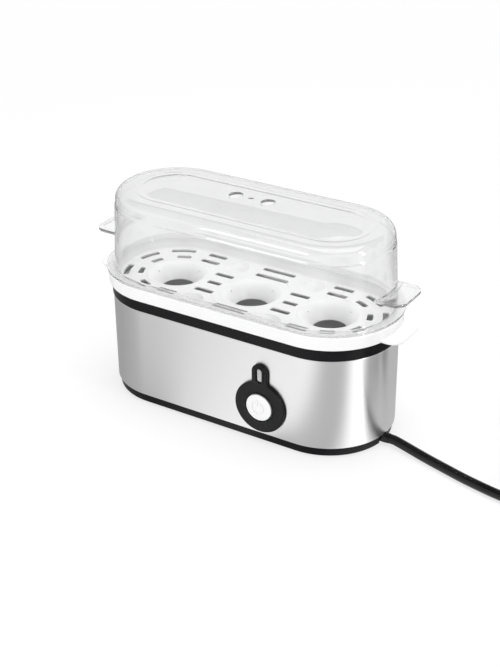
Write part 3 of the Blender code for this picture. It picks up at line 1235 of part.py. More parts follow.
def wires():
    """Insulated leads between the cord, the switch, the thermostat, the fuse, the heater and the lamp."""
    off = WIRE_RADIUS + SEAT_GAP
    stub_end = Vector((SLEEVE_INNER_X - CORD_STUB_LENGTH - 2 * SEAT_GAP - off, CORD_SIDE, stub_height()))
    switch_back = SWITCH_FRONT + SWITCH_DEPTH + BLADE_LENGTH / 2 + off
    switch_live = Vector((CONTROL_X + SWITCH_WIDTH / 4, switch_back, CONTROL_HEIGHT))
    switch_out = Vector((CONTROL_X - SWITCH_WIDTH / 4, switch_back, CONTROL_HEIGHT))
    blade_low = ELEMENT_HEIGHT - ELEMENT_LEG - SEAT_GAP - BLADE_LENGTH - off
    element_right = Vector((ELEMENT_GAP / 2, -ELEMENT_LINE, blade_low))
    element_left = Vector((-ELEMENT_GAP / 2, -ELEMENT_LINE, blade_low))
    thermostat_low = PAN_UNDERSIDE - SEAT_GAP - THERMOSTAT_CAP - THERMOSTAT_HEIGHT - BLADE_LENGTH - off
    thermostat_in = Vector((0, -THERMOSTAT_NECK_RADIUS / 2, thermostat_low))
    thermostat_out = Vector((0, THERMOSTAT_NECK_RADIUS / 2, thermostat_low))
    fuse_near = fuse_place() + Vector((FUSE_LENGTH + off, 0, 0))
    fuse_far = fuse_place() - Vector((off, 0, 0))
    earth_end = Vector((EARTH_X, -ELEMENT_LINE / 3, PAN_UNDERSIDE - SEAT_GAP - BLADE_LENGTH - off))
    lamp_end = Vector((CONTROL_X, lamp_place().y, lamp_place().z - HOLDER_WALL - off))
    floor = BASE_FLOOR_TOP + SEAT_GAP + WIRE_RADIUS
    gap = 3 * WIRE_RADIUS
    down = Vector((0, 0, -2 * gap))
    back = Vector((0, 2 * gap, 0))
    aside = Vector((BLADE_THICKNESS / 2 + off, 0, 0))
    over_switch = CONTROL_HEIGHT + BRACKET_RISE_OVER + gap
    lamp_drop = Vector((switch_live.x, SWITCH_FRONT + SWITCH_DEPTH + gap, over_switch)) + aside
    routes = {
        "wire_live": (BROWN_WIRE, [
            stub_end - Vector((0, gap / 2, 0)),
            Vector((stub_end.x - 4 * gap, stub_end.y - gap, CONTROL_HEIGHT / 2)),
            switch_live + back, switch_live]),
        "wire_neutral": (BLUE_WIRE, [
            stub_end + Vector((0, gap / 2, 0)), Vector((CONTROL_X, ELEMENT_LINE / 2, 2 * floor)),
            Vector((ELEMENT_GAP / 2, -ELEMENT_LINE / 2, blade_low / 2)),
            element_right + down, element_right]),
        "wire_earth": (EARTH_WIRE, [
            stub_end + Vector((0, 3 * gap / 2, 0)),
            Vector((EGG_PITCH - gap, ELEMENT_LINE / 2, floor)),
            Vector((ELEMENT_GAP, ELEMENT_LINE, floor)), Vector((0, ELEMENT_LINE, floor)),
            Vector((EARTH_X, ELEMENT_LINE / 3, blade_low / 2)), earth_end + 2 * down, earth_end]),
        "wire_to_thermostat": (BROWN_WIRE, [
            switch_out, switch_out + back, thermostat_in + 2 * down, thermostat_in]),
        "wire_to_fuse": (BROWN_WIRE, [
            thermostat_out, thermostat_out + down + back, (thermostat_out + fuse_near) / 2 + back + down,
            fuse_near + down, fuse_near]),
        "wire_to_element": (BROWN_WIRE, [
            fuse_far, fuse_far + 2 * down - back / 2,
            element_left + 2 * down - back, element_left + down, element_left]),
        "wire_lamp": (BLUE_WIRE, [
            lamp_end, lamp_end + Vector((0, gap / 2, -gap)),
            Vector((lamp_end.x, SWITCH_FRONT + gap, over_switch)),
            lamp_drop, lamp_drop + down, lamp_drop + 11 * down / 6]),
    }
    for name, (finish, route) in routes.items():
        points = [Vector((p.x, p.y, max(p.z, floor))) for p in smooth_route(route, WIRE_POINTS)]
        tube(name, points, WIRE_RADIUS, finish, resolution=1)


# Free lead, its coil and its plug

def coil_points():
    """Loops that spiral in on the table, climb one layer where the spiral turns back, and spiral out."""
    total = COIL_TURNS_IN + COIL_CLIMB_TURNS + COIL_TURNS_OUT
    count = round(total * COIL_POINTS_PER_TURN)
    turn_back = COIL_TURNS_IN + COIL_CLIMB_TURNS / 2
    points = []
    for i in range(count + 1):
        turns = total * i / count
        inward = min(turns, turn_back) - max(turns - turn_back, 0)
        radius = COIL_OUTER_LINE - COIL_PITCH * inward
        climb = min(max((turns - COIL_TURNS_IN) / COIL_CLIMB_TURNS, 0), 1)
        height = CORD_LIFT + COIL_PITCH * climb * climb * (3 - 2 * climb)
        angle = -math.pi / 2 + math.tau * turns
        along, aside = radius * math.cos(angle), radius * math.sin(angle)
        points.append(Vector((COIL_CENTRE_X + along, COIL_CENTRE_Y + aside, height)))
    return points


def least_self_gap(points, diameter):
    """The least clear distance between stretches of the tube that are over a quarter of a turn apart."""
    apart = COIL_POINTS_PER_TURN // 4
    least = min(
        (points[i] - points[j]).length for i in range(len(points)) for j in range(i + apart, len(points))
    )
    return least - diameter


def plug_frame():
    """Where the plug lies: its axis leaves the lead's end and rises, so that its rim rests on the table."""
    tilt = Matrix.Rotation(-math.pi / 2 + math.radians(PLUG_TILT_DEG), 4, "X")
    return Matrix.Translation(PLUG_ROOT) @ Matrix.Rotation(math.radians(PLUG_TURN_DEG), 4, "Z") @ tilt


def power_cord():
    return tube("power_cord", smooth_route(CORD_ROUTE, CORD_TUBE_POINTS), CORD_RADIUS, CORD_SHEATH)


def cord_coil():
    points = coil_points()
    print("least gap of the coil to itself, mm:", round(1000 * least_self_gap(points, CORD_DIAMETER), 2))
    lead_in = points[0] - Vector((CORD_DIAMETER, 0, 0))
    axis = plug_frame().to_3x3() @ Vector((0, 0, 1))
    end = Vector(PLUG_ROOT) - SEAT_GAP * axis
    tail = smooth_route((points[-1], *TAIL_ROUTE, end - PLUG_LEAD_IN * axis, end), TAIL_POINTS)
    return tube("cord_coil", [lead_in, *points, *tail[1:]], CORD_RADIUS, CORD_SHEATH, resolution=1)


def coil_tie():
    """A soft strap round all the turns at one place, a little clear of them."""
    angle = math.radians(TIE_ANGLE_DEG)
    direction = Vector((math.cos(angle), math.sin(angle), 0))
    centre = Vector((COIL_CENTRE_X, COIL_CENTRE_Y, 0))
    points = coil_points()
    near = [a.lerp(b, share / 8) - centre for a, b in zip(points, points[1:]) for share in range(9)]
    across = Vector((-direction.y, direction.x, 0))
    crossing = [p for p in near if abs(p.dot(across)) < TIE_WIDTH and p.dot(direction) > 0]
    reach = CORD_RADIUS + SEAT_GAP
    low_r = min(p.dot(direction) for p in crossing) - reach
    high_r = max(p.dot(direction) for p in crossing) + reach
    low_z = CORD_LIFT - reach
    high_z = CORD_LIFT + COIL_PITCH + reach
    corner = CORD_RADIUS / 2

    def rounded(grow):
        result = []
        for cx, cy, start in ((high_r - corner, high_z - corner, 0), (low_r + corner, high_z - corner, 90),
                              (low_r + corner, low_z + corner, 180), (high_r - corner, low_z + corner, 270)):
            result += arc(cx, cy, corner + grow, start, start + 90, 3)
        return result

    strap = plate("coil_tie", rounded(TIE_THICKNESS), TIE_WIDTH, RUBBER, holes=(rounded(0),))
    upright = Matrix((
        (direction.x, 0, -across.x, COIL_CENTRE_X),
        (direction.y, 0, -across.y, COIL_CENTRE_Y),
        (0, 1, 0, 0),
        (0, 0, 0, 1),
    ))
    strap.data.transform(upright)
    return strap


def mains_plug():
    ring = PLUG_LENGTH - PLUG_RIM_LENGTH
    body = turned_part("mains_plug", [
        (0, PLUG_LENGTH),
        (PLUG_FACE_RADIUS - SINK, PLUG_LENGTH),
        (PLUG_FACE_RADIUS, PLUG_LENGTH - SINK),
        (PLUG_FACE_RADIUS, ring),
        (PLUG_WAIST_RADIUS, ring - PLUG_RIM_LENGTH / 2),
        (PLUG_WAIST_RADIUS, PLUG_LENGTH - PLUG_BODY_LENGTH),
        (PLUG_NECK_RADIUS, PLUG_LENGTH - PLUG_BODY_LENGTH - PLUG_NECK_RADIUS),
        (CORD_RADIUS + SEAT_GAP, 0),
        (0, 0),
    ], BLACK_PLASTIC, (0, 0, 0), steps=28)
    frame = plug_frame()
    body.matrix_world = frame
    pin_seat = (PIN_RADIUS + SEAT_GAP, PIN_SEAT_DEPTH)
    for name, (radius, depth), x, y in (
        ("pin_seat_left", pin_seat, -PIN_SPACING / 2, 0),
        ("pin_seat_right", pin_seat, PIN_SPACING / 2, 0),
        ("earth_socket", (EARTH_HOLE_RADIUS, EARTH_HOLE_DEPTH), 0, EARTH_HOLE_OFFSET),
    ):
        tool = rod(name, radius, depth + OVERRUN, BRASS, (0, 0, 0), steps=12)
        tool.matrix_world = frame @ Matrix.Translation((x, y, PLUG_LENGTH - depth))
        cut(body, tool)
    return body


def plug_pins():
    for i, side in enumerate((-1, 1)):
        length = PIN_LENGTH + PIN_SEAT_DEPTH - SEAT_GAP
        pin = turned_part(f"plug_pin_{i + 1}", [
            (0, length), (PIN_RADIUS / 2, length - PIN_RADIUS / 5), (PIN_RADIUS, length - PIN_RADIUS),
            (PIN_RADIUS, 0), (0, 0),
        ], BRASS, (0, 0, 0), steps=12)
        seat = PLUG_LENGTH - PIN_SEAT_DEPTH + SEAT_GAP
        pin.matrix_world = plug_frame() @ Matrix.Translation((side * PIN_SPACING / 2, 0, seat))


bottom_cover()
feet()
base_screws()
steel_housing()
top_rim()
heating_pan()
pan_seal()
heating_element()
element_blades()
thermostat()
thermostat_clip()
thermal_fuse()
earth_tab()
egg_tray()
lid()
control_bezel()
indicator_lens()
indicator_lamp()
lamp_holder()
power_button()
switch_body()
switch_bracket()
strain_relief()
cord_stub()
cord_clamp()
clamp_screws()
wires()
power_cord()
cord_coil()
coil_tie()
mains_plug()
plug_pins()
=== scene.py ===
"""The looks of the egg boiler: fine shells, finishes, mains lead and studio. Metres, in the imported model's own frame.

Every shell follows one obround plan: two half circles round points on X, joined by straight sides. A profile is a
list of (distance from the centre line, height, corner radius), drawn round that plan.
"""

import math

import bmesh
import bpy
from mathutils import Matrix, Vector


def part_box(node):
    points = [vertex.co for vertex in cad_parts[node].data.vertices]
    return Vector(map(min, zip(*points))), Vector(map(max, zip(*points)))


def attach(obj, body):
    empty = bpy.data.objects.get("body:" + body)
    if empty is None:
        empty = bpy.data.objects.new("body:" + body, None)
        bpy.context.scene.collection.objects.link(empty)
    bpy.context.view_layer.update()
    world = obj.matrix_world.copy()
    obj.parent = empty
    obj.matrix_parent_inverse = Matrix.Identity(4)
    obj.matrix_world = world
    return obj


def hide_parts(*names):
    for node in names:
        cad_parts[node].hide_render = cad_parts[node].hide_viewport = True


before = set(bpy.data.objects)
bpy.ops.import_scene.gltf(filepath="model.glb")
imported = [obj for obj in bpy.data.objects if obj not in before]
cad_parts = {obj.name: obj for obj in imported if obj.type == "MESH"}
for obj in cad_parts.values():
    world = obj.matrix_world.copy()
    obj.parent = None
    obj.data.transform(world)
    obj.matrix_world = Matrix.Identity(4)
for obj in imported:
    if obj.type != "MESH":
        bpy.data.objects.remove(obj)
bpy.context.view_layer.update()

# Plan and heights, from the frame
EGG_PITCH = 0.0592
ROUND_STEPS = 44
OVERRUN = 0.003
STEEL_LOW, STEEL_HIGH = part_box("steel_housing")[0].z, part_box("steel_housing")[1].z
STEEL_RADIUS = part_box("steel_housing")[1].y
RIM_RADIUS, RIM_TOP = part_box("top_rim")[1].y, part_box("top_rim")[1].z
TRAY_TOP_RADIUS, TRAY_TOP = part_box("egg_tray")[1].y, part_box("egg_tray")[1].z
TRAY_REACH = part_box("egg_tray")[1].x
LID_RADIUS, LID_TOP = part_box("lid")[1].y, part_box("lid")[1].z
LID_SKIRT_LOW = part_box("lid")[0].z
LID_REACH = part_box("lid")[1].x
BASE_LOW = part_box("bottom_cover")[0].z
BASE_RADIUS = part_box("bottom_cover")[1].y

# Tray
TRAY_LOW = RIM_TOP + 0.0003
TRAY_FLOOR_TOP = TRAY_TOP - 0.0076
TRAY_SHEET = 0.0012
TRAY_WALL = 0.0014
TRAY_RADIUS = TRAY_TOP_RADIUS - 0.0004
TRAY_SKIRT_RADIUS = 0.0418
TRAY_SKIRT_DEPTH = 0.0029
TRAY_INNER_TOP = 0.0423
TRAY_INNER_LOW = 0.0415
CUP_MOUTH_RADIUS = 0.0212
CUP_THROAT_RADIUS = 0.0113
CUP_DEPTH = 0.0104
CUP_LIP = 0.0003
CUP_STEPS = 72
RIB_ANGLES_DEG = (60, 180, 300)
RIB_SIZE = (0.0005, 0.0006, 0.0012)
RIB_DROP = 0.0027
RIB_LEAN_DEG = 38
DIMPLE_RADIUS = 0.0088
DIMPLE_DEPTH = 0.0042
DIMPLE_LINE = 0.0285
SLOT_WIDTH = 0.0042
SLOT_CORNER = 0.0011
INNER_SLOT_LINE = 0.0260
OUTER_SLOT_LINE = 0.0361
SIDE_SLOT_X = 0.0502
SIDE_SLOT_LENGTH = 0.0145
MIDDLE_SLOT_LENGTH = 0.0250
BRIDGE_SLOT_LENGTHS = (0.0140, 0.0105, 0.0140)
BRIDGE_SLOT_PITCH = 0.0128
INNER_SLOT_SPANS_DEG = ((11, 31), (54, 76))
OUTER_SLOT_SPANS_DEG = ((9, 34), (48, 76))

# Lid
FLANGE_LOW = TRAY_TOP + 0.0003
FLANGE_TOP = FLANGE_LOW + 0.0020
LID_WALL = 0.0018
LID_SKIRT_WALL = 0.0010
LID_WALL_RADIUS = 0.0430
LID_DRAFT_SHARE = 0.05
LID_RING = FLANGE_TOP + 0.0535
LID_SHOULDER = 0.0067
LID_STEP = 0.0005
LID_STEP_HEIGHT = LID_RING - LID_SHOULDER - 0.0038
PANEL_RADIUS = 0.0252
PANEL_STEP = 0.0002
GROOVE_WIDTH = 0.0032
LID_TAB_TOP = FLANGE_TOP + 0.0172
LID_TAB_THICKNESS = 0.0022
TRAY_TAB_THICKNESS = 0.0024
TAB_HALF_WIDTH = 0.0163
TAB_CORNER = 0.0080
STEAM_HOLE_RADIUS = 0.0040
STEAM_HOLE_X = 0.0121
STEAM_HOLE_Y = 0.0010
STEAM_HOLE_STRETCH = 1.3
LID_DIMPLE_RADIUS = 0.0060
LID_DIMPLE_DEPTH = 0.0006

# Posts, feet and vents under the body
POST_X, POST_Y = 0.052, 0.0382
POST_RADIUS = 0.0028
POST_BORE = 0.0015
SCREW_HEAD_RADIUS = 0.0027
FOOT_Y = 0.026
FOOT_RECESS_RADIUS = 0.0063
FOOT_RECESS_DEPTH = 0.0023
VENT_PITCH = 0.006
VENT_HALF_WIDTH = 0.0012
VENT_HALF_LENGTH = 0.0110

# Controls, on the front
FRONT = -STEEL_RADIUS - 0.0003
CONTROL_X = 0.0343
CONTROL_HEIGHT = 0.0282
BEZEL_RADIUS = 0.0185
BEZEL_THICKNESS = 0.0020
BEZEL_FACE = FRONT - BEZEL_THICKNESS
COLLAR_RADIUS = 0.0110
COLLAR_PROUD = 0.0008
BEZEL_TAB_HALF_WIDTH = 0.0058
BEZEL_TAB_TOP = 0.0314
BUTTON_RADIUS = 0.0094
BUTTON_BORE = 0.0098
LENS_HALF_WIDTH = 0.0023
LENS_HALF_HEIGHT = 0.0052
LENS_HEIGHT = 0.0233
LENS_FRAME = 0.0013
SYMBOL_LINE = 0.0042
SYMBOL_STROKE = 0.0010
SYMBOL_BAR_LOW, SYMBOL_BAR_HIGH = 0.0016, 0.0058

# Lead: the route's points repeat those of the model
CORD_DIAMETER = 0.0064
CORD_ROUTE = (
    (0.1079, -0.0033, 0.0046), (0.1115, -0.0036, 0.0046), (0.1200, -0.0058, 0.0042), (0.1350, -0.0099, 0.0035),
    (0.1501, -0.0142, 0.0034), (0.1700, -0.0196, 0.0034), (0.1930, -0.0243, 0.0036), (0.2120, -0.0263, 0.0040),
    (0.2233, -0.0265, 0.0042),
)
CORD_POINTS = 38
COIL_CENTRE = (0.2300, 0.0135)
COIL_OUTER_LINE = 0.0400
COIL_PITCH = 0.0070
COIL_LOW = 0.0042
COIL_TURNS_IN = 1.375
COIL_TURNS_OUT = 1.375
COIL_POINTS_PER_TURN = 36
TAIL_ROUTE = (
    (0.2703, 0.0240, 0.0110), (0.2702, 0.0300, 0.0101), (0.2700, 0.0360, 0.0078), (0.2681, 0.0464, 0.0047),
    (0.2643, 0.0537, 0.0036), (0.2584, 0.0602, 0.0038), (0.2489, 0.0656, 0.0058),
)
TAIL_POINTS = 30
PLUG_ROOT = (0.2280, 0.0675, 0.0105)
PLUG_TILT_DEG = 12.6
PLUG_TURN_DEG = 90.0
PLUG_LEAD_IN = 0.0095
PLUG_BODY_RADIUS = 0.0120
PLUG_FACE_RADIUS = 0.0185
PLUG_FACE = 0.0460
PIN_LINE = 0.0095
PIN_BORE = 0.0027
EARTH_BORE = 0.0030
GRIP_PITCH = 0.0026

# Camera, fitted to the photograph
CAMERA_AZIMUTH_DEG = 32.277
CAMERA_ELEVATION_DEG = 28.356
CAMERA_DISTANCE = 0.8937
CAMERA_TARGET = (-0.0018, 0.0, 0.0505)
CAMERA_ROLL_DEG = -0.57
CAMERA_LENS = 71.3
SENSOR_WIDTH = 36.0

# The share of the range in which most of a noise signal lies
NOISE_SPAN = (0.3, 0.7)

# Studio: tones by direction round the object in degrees, and of the walls by the sine of the height angle
FLOOR_REACH = 6.0
FLOOR_WHITE_SHARE = 0.72
FLOOR_MIRROR_SHARE = 0.9
FLOOR_FADE = (0.4, 1.2)
FLOOR_TONES = (
    (-180, 0.46), (-104, 0.34), (-76, 0.36), (-55, 0.46), (-42, 0.62), (-31, 0.90), (-15, 1.06), (8, 1.18), (24, 1.16),
    (37, 0.52), (61, 0.52), (71, 1.4), (80, 1.4), (87, 0.40), (93, 0.60), (130, 0.5), (180, 0.46),
)
WORLD_TONES = (
    (-180, 1.0), (-150, 1.0), (-125, 0.5), (-76, 0.38), (-50, 0.52), (-34, 0.84), (-16, 1.04), (-8, 1.04),
    (4, 0.52), (58, 0.52), (72, 1.4), (92, 1.4), (102, 0.46), (116, 0.6), (132, 1.0), (180, 1.0),
)
WALL_START = (0.02, 0.12)
WALL_TONES = ((0.0, 0.9), (0.2, 1.0), (0.57, 1.0), (0.585, 0.1), (0.85, 0.1), (0.95, 0.4), (1.0, 0.4))
ROOM_LIGHT = 0.62
# Name, place, aim, size, power and whether it shows in reflections
SOFT_BOXES = (
    ("overhead", (0.1, 0.1, 1.3), (0, 0, 0.08), (1.4, 1.0), 13.0, False),
    ("right_strip", (1.39, -0.14, 0.50), (0.05, 0, 0.06), (0.10, 0.9), 5.5, True),
    ("front", (-0.56, -1.39, 0.36), (0, 0, 0.06), (0.5, 0.5), 7.5, False),
)


# Objects and the camera

def add_object(name, data):
    made = bpy.data.objects.new(name, data)
    bpy.context.scene.collection.objects.link(made)
    return made


def add_camera():
    turn, rise = math.radians(CAMERA_AZIMUTH_DEG), math.radians(CAMERA_ELEVATION_DEG)
    back = Vector((math.sin(turn) * math.cos(rise), -math.cos(turn) * math.cos(rise), math.sin(rise)))
    right = Vector((math.cos(turn), math.sin(turn), 0))
    right = Matrix.Rotation(math.radians(CAMERA_ROLL_DEG), 3, back) @ right
    up = back.cross(right)
    camera = add_object("camera", bpy.data.cameras.new("camera"))
    camera.data.lens = CAMERA_LENS
    camera.data.sensor_width = SENSOR_WIDTH
    camera.data.clip_start = CAMERA_DISTANCE / 100
    camera.data.clip_end = CAMERA_DISTANCE * 20
    basis = Matrix((right, up, back)).transposed().to_4x4()
    camera.matrix_world = Matrix.Translation(Vector(CAMERA_TARGET) + back * CAMERA_DISTANCE) @ basis
    bpy.context.scene.camera = camera


# Shaping

def finish_surface(piece, sharp_deg, weighted=False):
    """Smooth shading with the sharp edges kept, and normals that follow the larger faces if wanted."""
    piece.data.shade_smooth()
    piece.data.set_sharp_from_angle(angle=math.radians(sharp_deg))
    if weighted:
        piece.modifiers.new("even_normals", "WEIGHTED_NORMAL").keep_sharp = True


def link_piece(name, mesh, material, sharp_deg=35, weighted=False):
    mesh.name = name
    piece = add_object(name, mesh)
    mesh.materials.clear()
    mesh.materials.append(material)
    finish_surface(piece, sharp_deg, weighted)
    return piece


def mesh_from(bm):
    bmesh.ops.remove_doubles(bm, verts=bm.verts, dist=1e-6)
    bmesh.ops.recalc_face_normals(bm, faces=bm.faces)
    mesh = bpy.data.meshes.new("shape")
    bm.to_mesh(mesh)
    bm.free()
    return mesh


def place_piece(piece, body, slot, *nodes):
    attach(piece, body)
    if nodes:
        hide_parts(*nodes)
    return piece


def at(x, y, z):
    return Matrix.Translation((x, y, z))


def upright(x, back, height):
    """Stands a plate up: its X stays, its Y becomes height and its thickness runs along Y."""
    return at(x, back, height) @ Matrix.Rotation(math.pi / 2, 4, "X")


def lengthwise(x, y, z):
    """Lays a turned shape along X, from its foot at a place."""
    return at(x, y, z) @ Matrix.Rotation(math.pi / 2, 4, "Y")


def four_corners(x, y):
    return [(-x, -y), (-x, y), (x, -y), (x, y)]


def arc(centre_x, centre_y, radius, start_deg, end_deg, steps):
    angles = [math.radians(start_deg + (end_deg - start_deg) * i / steps) for i in range(steps + 1)]
    return [(centre_x + radius * math.cos(a), centre_y + radius * math.sin(a)) for a in angles]


def rounded(corners, steps=4, closed=False):
    """A chain of points with each corner (x, y, radius) rounded off."""
    count = len(corners)
    result = []
    for i, (x, y, radius) in enumerate(corners):
        at_end = not closed and i in (0, count - 1)
        if at_end or radius <= 0:
            result.append((x, y))
            continue
        here = Vector((x, y))
        before = Vector(corners[i - 1][:2]) - here
        after = Vector(corners[(i + 1) % count][:2]) - here
        half = before.angle(after) / 2
        reach = min(radius / math.tan(half), before.length * 0.49, after.length * 0.49)
        true_radius = reach * math.tan(half)
        middle = here + (before.normalized() + after.normalized()).normalized() * (true_radius / math.sin(half))
        start = here + before.normalized() * reach - middle
        end = here + after.normalized() * reach - middle
        swing = start.angle_signed(end)
        for k in range(steps + 1):
            turned = start.copy()
            turned.rotate(Matrix.Rotation(-swing * k / steps, 2))
            result.append(tuple(middle + turned))
    return result


def swept_mesh(profile, steps=ROUND_STEPS):
    """Draws a profile of (distance from the centre line, height) round the obround plan."""
    bm = bmesh.new()
    points = [bm.verts.new((EGG_PITCH, -radius, height)) for radius, height in profile]
    edges = [bm.edges.new(pair) for pair in zip(points, points[1:])]
    for side in (1, -1):
        turned = bmesh.ops.spin(
            bm, geom=edges, cent=(side * EGG_PITCH, 0, 0), axis=(0, 0, 1), angle=math.pi, steps=steps
        )
        edges = [item for item in turned["geom_last"] if isinstance(item, bmesh.types.BMEdge)]
        drawn = bmesh.ops.extrude_edge_only(bm, edges=edges)["geom"]
        moved = [item for item in drawn if isinstance(item, bmesh.types.BMVert)]
        edges = [item for item in drawn if isinstance(item, bmesh.types.BMEdge)]
        edges = [edge for edge in edges if all(vert in moved for vert in edge.verts)]
        bmesh.ops.translate(bm, verts=moved, vec=(-2 * side * EGG_PITCH, 0, 0))
    return mesh_from(bm)


def ring_profile(corners, steps=4):
    """A closed profile: the rounded chain with its first point again at its end."""
    chain = rounded(corners, steps, closed=True)
    return [*chain, chain[0]]


def peg(radius, low, high):
    """The profile of a plain round bar."""
    return [(0, high), (radius, high), (radius, low), (0, low)]


def turned_mesh(profile, steps, place):
    """Spins a profile of (radius, height) about Z and puts it in place."""
    bm = bmesh.new()
    add_turned(bm, profile, steps, place)
    return mesh_from(bm)


def add_turned(bm, profile, steps, place):
    points = [bm.verts.new((radius, 0, height)) for radius, height in profile]
    pairs = [pair for pair in zip(points, points[1:]) if pair[0].co.x or pair[1].co.x]
    edges = [bm.edges.new(pair) for pair in pairs]
    bmesh.ops.spin(bm, geom=edges, cent=(0, 0, 0), axis=(0, 0, 1), angle=math.tau, steps=steps, use_merge=True)
    fresh = [vert for vert in bm.verts if not vert.tag]
    bmesh.ops.transform(bm, matrix=place, verts=fresh)
    for vert in fresh:
        vert.tag = True


def plate_mesh(outlines, thickness, place, edge=0.0, edge_steps=3):
    """A flat plate from outlines in X and Y, holes among them, with its edges rounded by a curve's bevel."""
    curve = bpy.data.curves.new("outline", "CURVE")
    curve.dimensions = "2D"
    curve.fill_mode = "BOTH"
    curve.extrude = thickness / 2 - edge
    curve.bevel_depth = edge
    curve.bevel_resolution = edge_steps
    curve.offset = -edge
    for outline in outlines:
        spline = curve.splines.new("POLY")
        spline.points.add(len(outline) - 1)
        for point, (x, y) in zip(spline.points, outline):
            point.co = (x, y, 0, 1)
        spline.use_cyclic_u = True
    drawn = add_object("outline", curve)
    mesh = bpy.data.meshes.new_from_object(drawn.evaluated_get(bpy.context.evaluated_depsgraph_get()))
    bpy.data.objects.remove(drawn)
    bm = bmesh.new()
    bm.from_mesh(mesh)
    bmesh.ops.transform(bm, matrix=place, verts=bm.verts)
    return mesh_from(bm)


def combine(piece, tool_mesh, operation):
    """Joins a closed mesh to a piece, or cuts it out, and keeps the result as the piece's own mesh."""
    tool = add_object("tool", tool_mesh)
    step = piece.modifiers.new("combine", "BOOLEAN")
    step.operation = operation
    step.solver = "EXACT"
    step.object = tool
    result = bpy.data.meshes.new_from_object(piece.evaluated_get(bpy.context.evaluated_depsgraph_get()))
    bm = bmesh.new()
    bm.from_mesh(result)
    bmesh.ops.remove_doubles(bm, verts=bm.verts, dist=2e-6)
    bmesh.ops.dissolve_degenerate(bm, edges=bm.edges, dist=2e-6)
    bm.to_mesh(result)
    bm.free()
    piece.modifiers.remove(step)
    piece.data = result
    bpy.data.objects.remove(tool)


def cut(piece, tool_mesh):
    combine(piece, tool_mesh, "DIFFERENCE")


def join(piece, tool_mesh):
    combine(piece, tool_mesh, "UNION")


def stadium(centre_x, centre_y, half_width, half_height, steps=12):
    straight = half_height - half_width
    top = arc(centre_x, centre_y + straight, half_width, 0, 180, steps)
    return top + arc(centre_x, centre_y - straight, half_width, 180, 360, steps)


# Materials and their nodes

def grey(tone):
    return tone, tone, tone


def fill(node, inputs):
    """Gives each named input of a node a value, or a link from another node's output."""
    for name, value in inputs.items():
        if isinstance(value, bpy.types.NodeSocket):
            node.id_data.links.new(value, node.inputs[name])
        else:
            node.inputs[name].default_value = value


def add_node(tree, kind, inputs=None, **settings):
    node = tree.nodes.new(kind)
    for name, value in settings.items():
        setattr(node, name, value)
    fill(node, inputs or {})
    return node


def maths(tree, operation, first, second, clamp=False):
    return add_node(tree, "ShaderNodeMath", {0: first, 1: second}, operation=operation, use_clamp=clamp).outputs[0]


def map_range(tree, signal, from_low, from_high, low=0.0, high=1.0):
    inputs = {"Value": signal, "From Min": from_low, "From Max": from_high, "To Min": low, "To Max": high}
    return add_node(tree, "ShaderNodeMapRange", inputs).outputs["Result"]


def blend_shaders(tree, amount, first, second):
    return add_node(tree, "ShaderNodeMixShader", {"Fac": amount, 1: first, 2: second}).outputs[0]


def material_base(name, colour, roughness, metallic=0.0, extra=None):
    made = bpy.data.materials.new(name)
    made.use_nodes = True
    shader = made.node_tree.nodes["Principled BSDF"]
    inputs = {"Base Color": (*colour, 1), "Roughness": roughness, "Metallic": metallic}
    fill(shader, {**inputs, **(extra or {})})
    return made, shader


def grain(shader, scale, detail=3.0):
    """Noise on Object coordinates, with one scale or one for each axis, in periods a metre."""
    tree = shader.id_data
    where = add_node(tree, "ShaderNodeTexCoord").outputs["Object"]
    scale = scale if isinstance(scale, tuple) else (scale, scale, scale)
    stretch = add_node(tree, "ShaderNodeMapping", {"Vector": where, "Scale": scale})
    inputs = {"Vector": stretch.outputs["Vector"], "Scale": 1.0, "Detail": detail, "Roughness": 0.5}
    return add_node(tree, "ShaderNodeTexNoise", inputs).outputs["Fac"]


def spread(shader, signal, low, high):
    """Maps a noise signal to a range of values."""
    return map_range(shader.id_data, signal, *NOISE_SPAN, low, high)


def tint(shader, signal, low, high):
    """Lets a noise signal move the base colour between two colours."""
    ramp = add_node(shader.id_data, "ShaderNodeValToRGB", {"Fac": signal})
    for stop, position, colour in zip(ramp.color_ramp.elements, NOISE_SPAN, (low, high)):
        stop.position = position
        stop.color = (*colour, 1)
    fill(shader, {"Base Color": ramp.outputs["Color"]})


def relief(shader, signal, depth):
    """Raises the surface a little with a noise signal."""
    bump = add_node(shader.id_data, "ShaderNodeBump", {"Height": signal, "Distance": depth, "Strength": 1.0})
    fill(shader, {"Normal": bump.outputs["Normal"]})


def rough_with(shader, signal, low, high):
    fill(shader, {"Roughness": spread(shader, signal, low, high)})


def brushed_steel():
    """Sheet brushed along its length: its highlights are drawn out up and down."""
    made, shader = material_base("brushed_steel_sheet", (0.78, 0.775, 0.775), 0.30, 1.0)
    lines = grain(shader, (5.0, 5.0, 6500.0), 2.0)
    tint(shader, lines, (0.78, 0.775, 0.775), (0.80, 0.795, 0.795))
    rough_with(shader, lines, 0.28, 0.295)
    direction = add_node(shader.id_data, "ShaderNodeTangent", direction_type="RADIAL", axis="Z").outputs["Tangent"]
    fill(shader, {"Anisotropic": 0.85, "Anisotropic Rotation": 0.25, "Tangent": direction})
    return made


def moulded(name, low, high, rough_low, rough_high, grain_size=1800.0, depth=0.000006, specular=0.5):
    """A moulded plastic: a slow drift of colour and a fine even grain."""
    made, shader = material_base(name, low, rough_low, extra={"Specular IOR Level": specular})
    tint(shader, grain(shader, 60.0, 2.0), low, high)
    fine = grain(shader, grain_size, 2.0)
    rough_with(shader, fine, rough_low, rough_high)
    relief(shader, fine, depth)
    return made


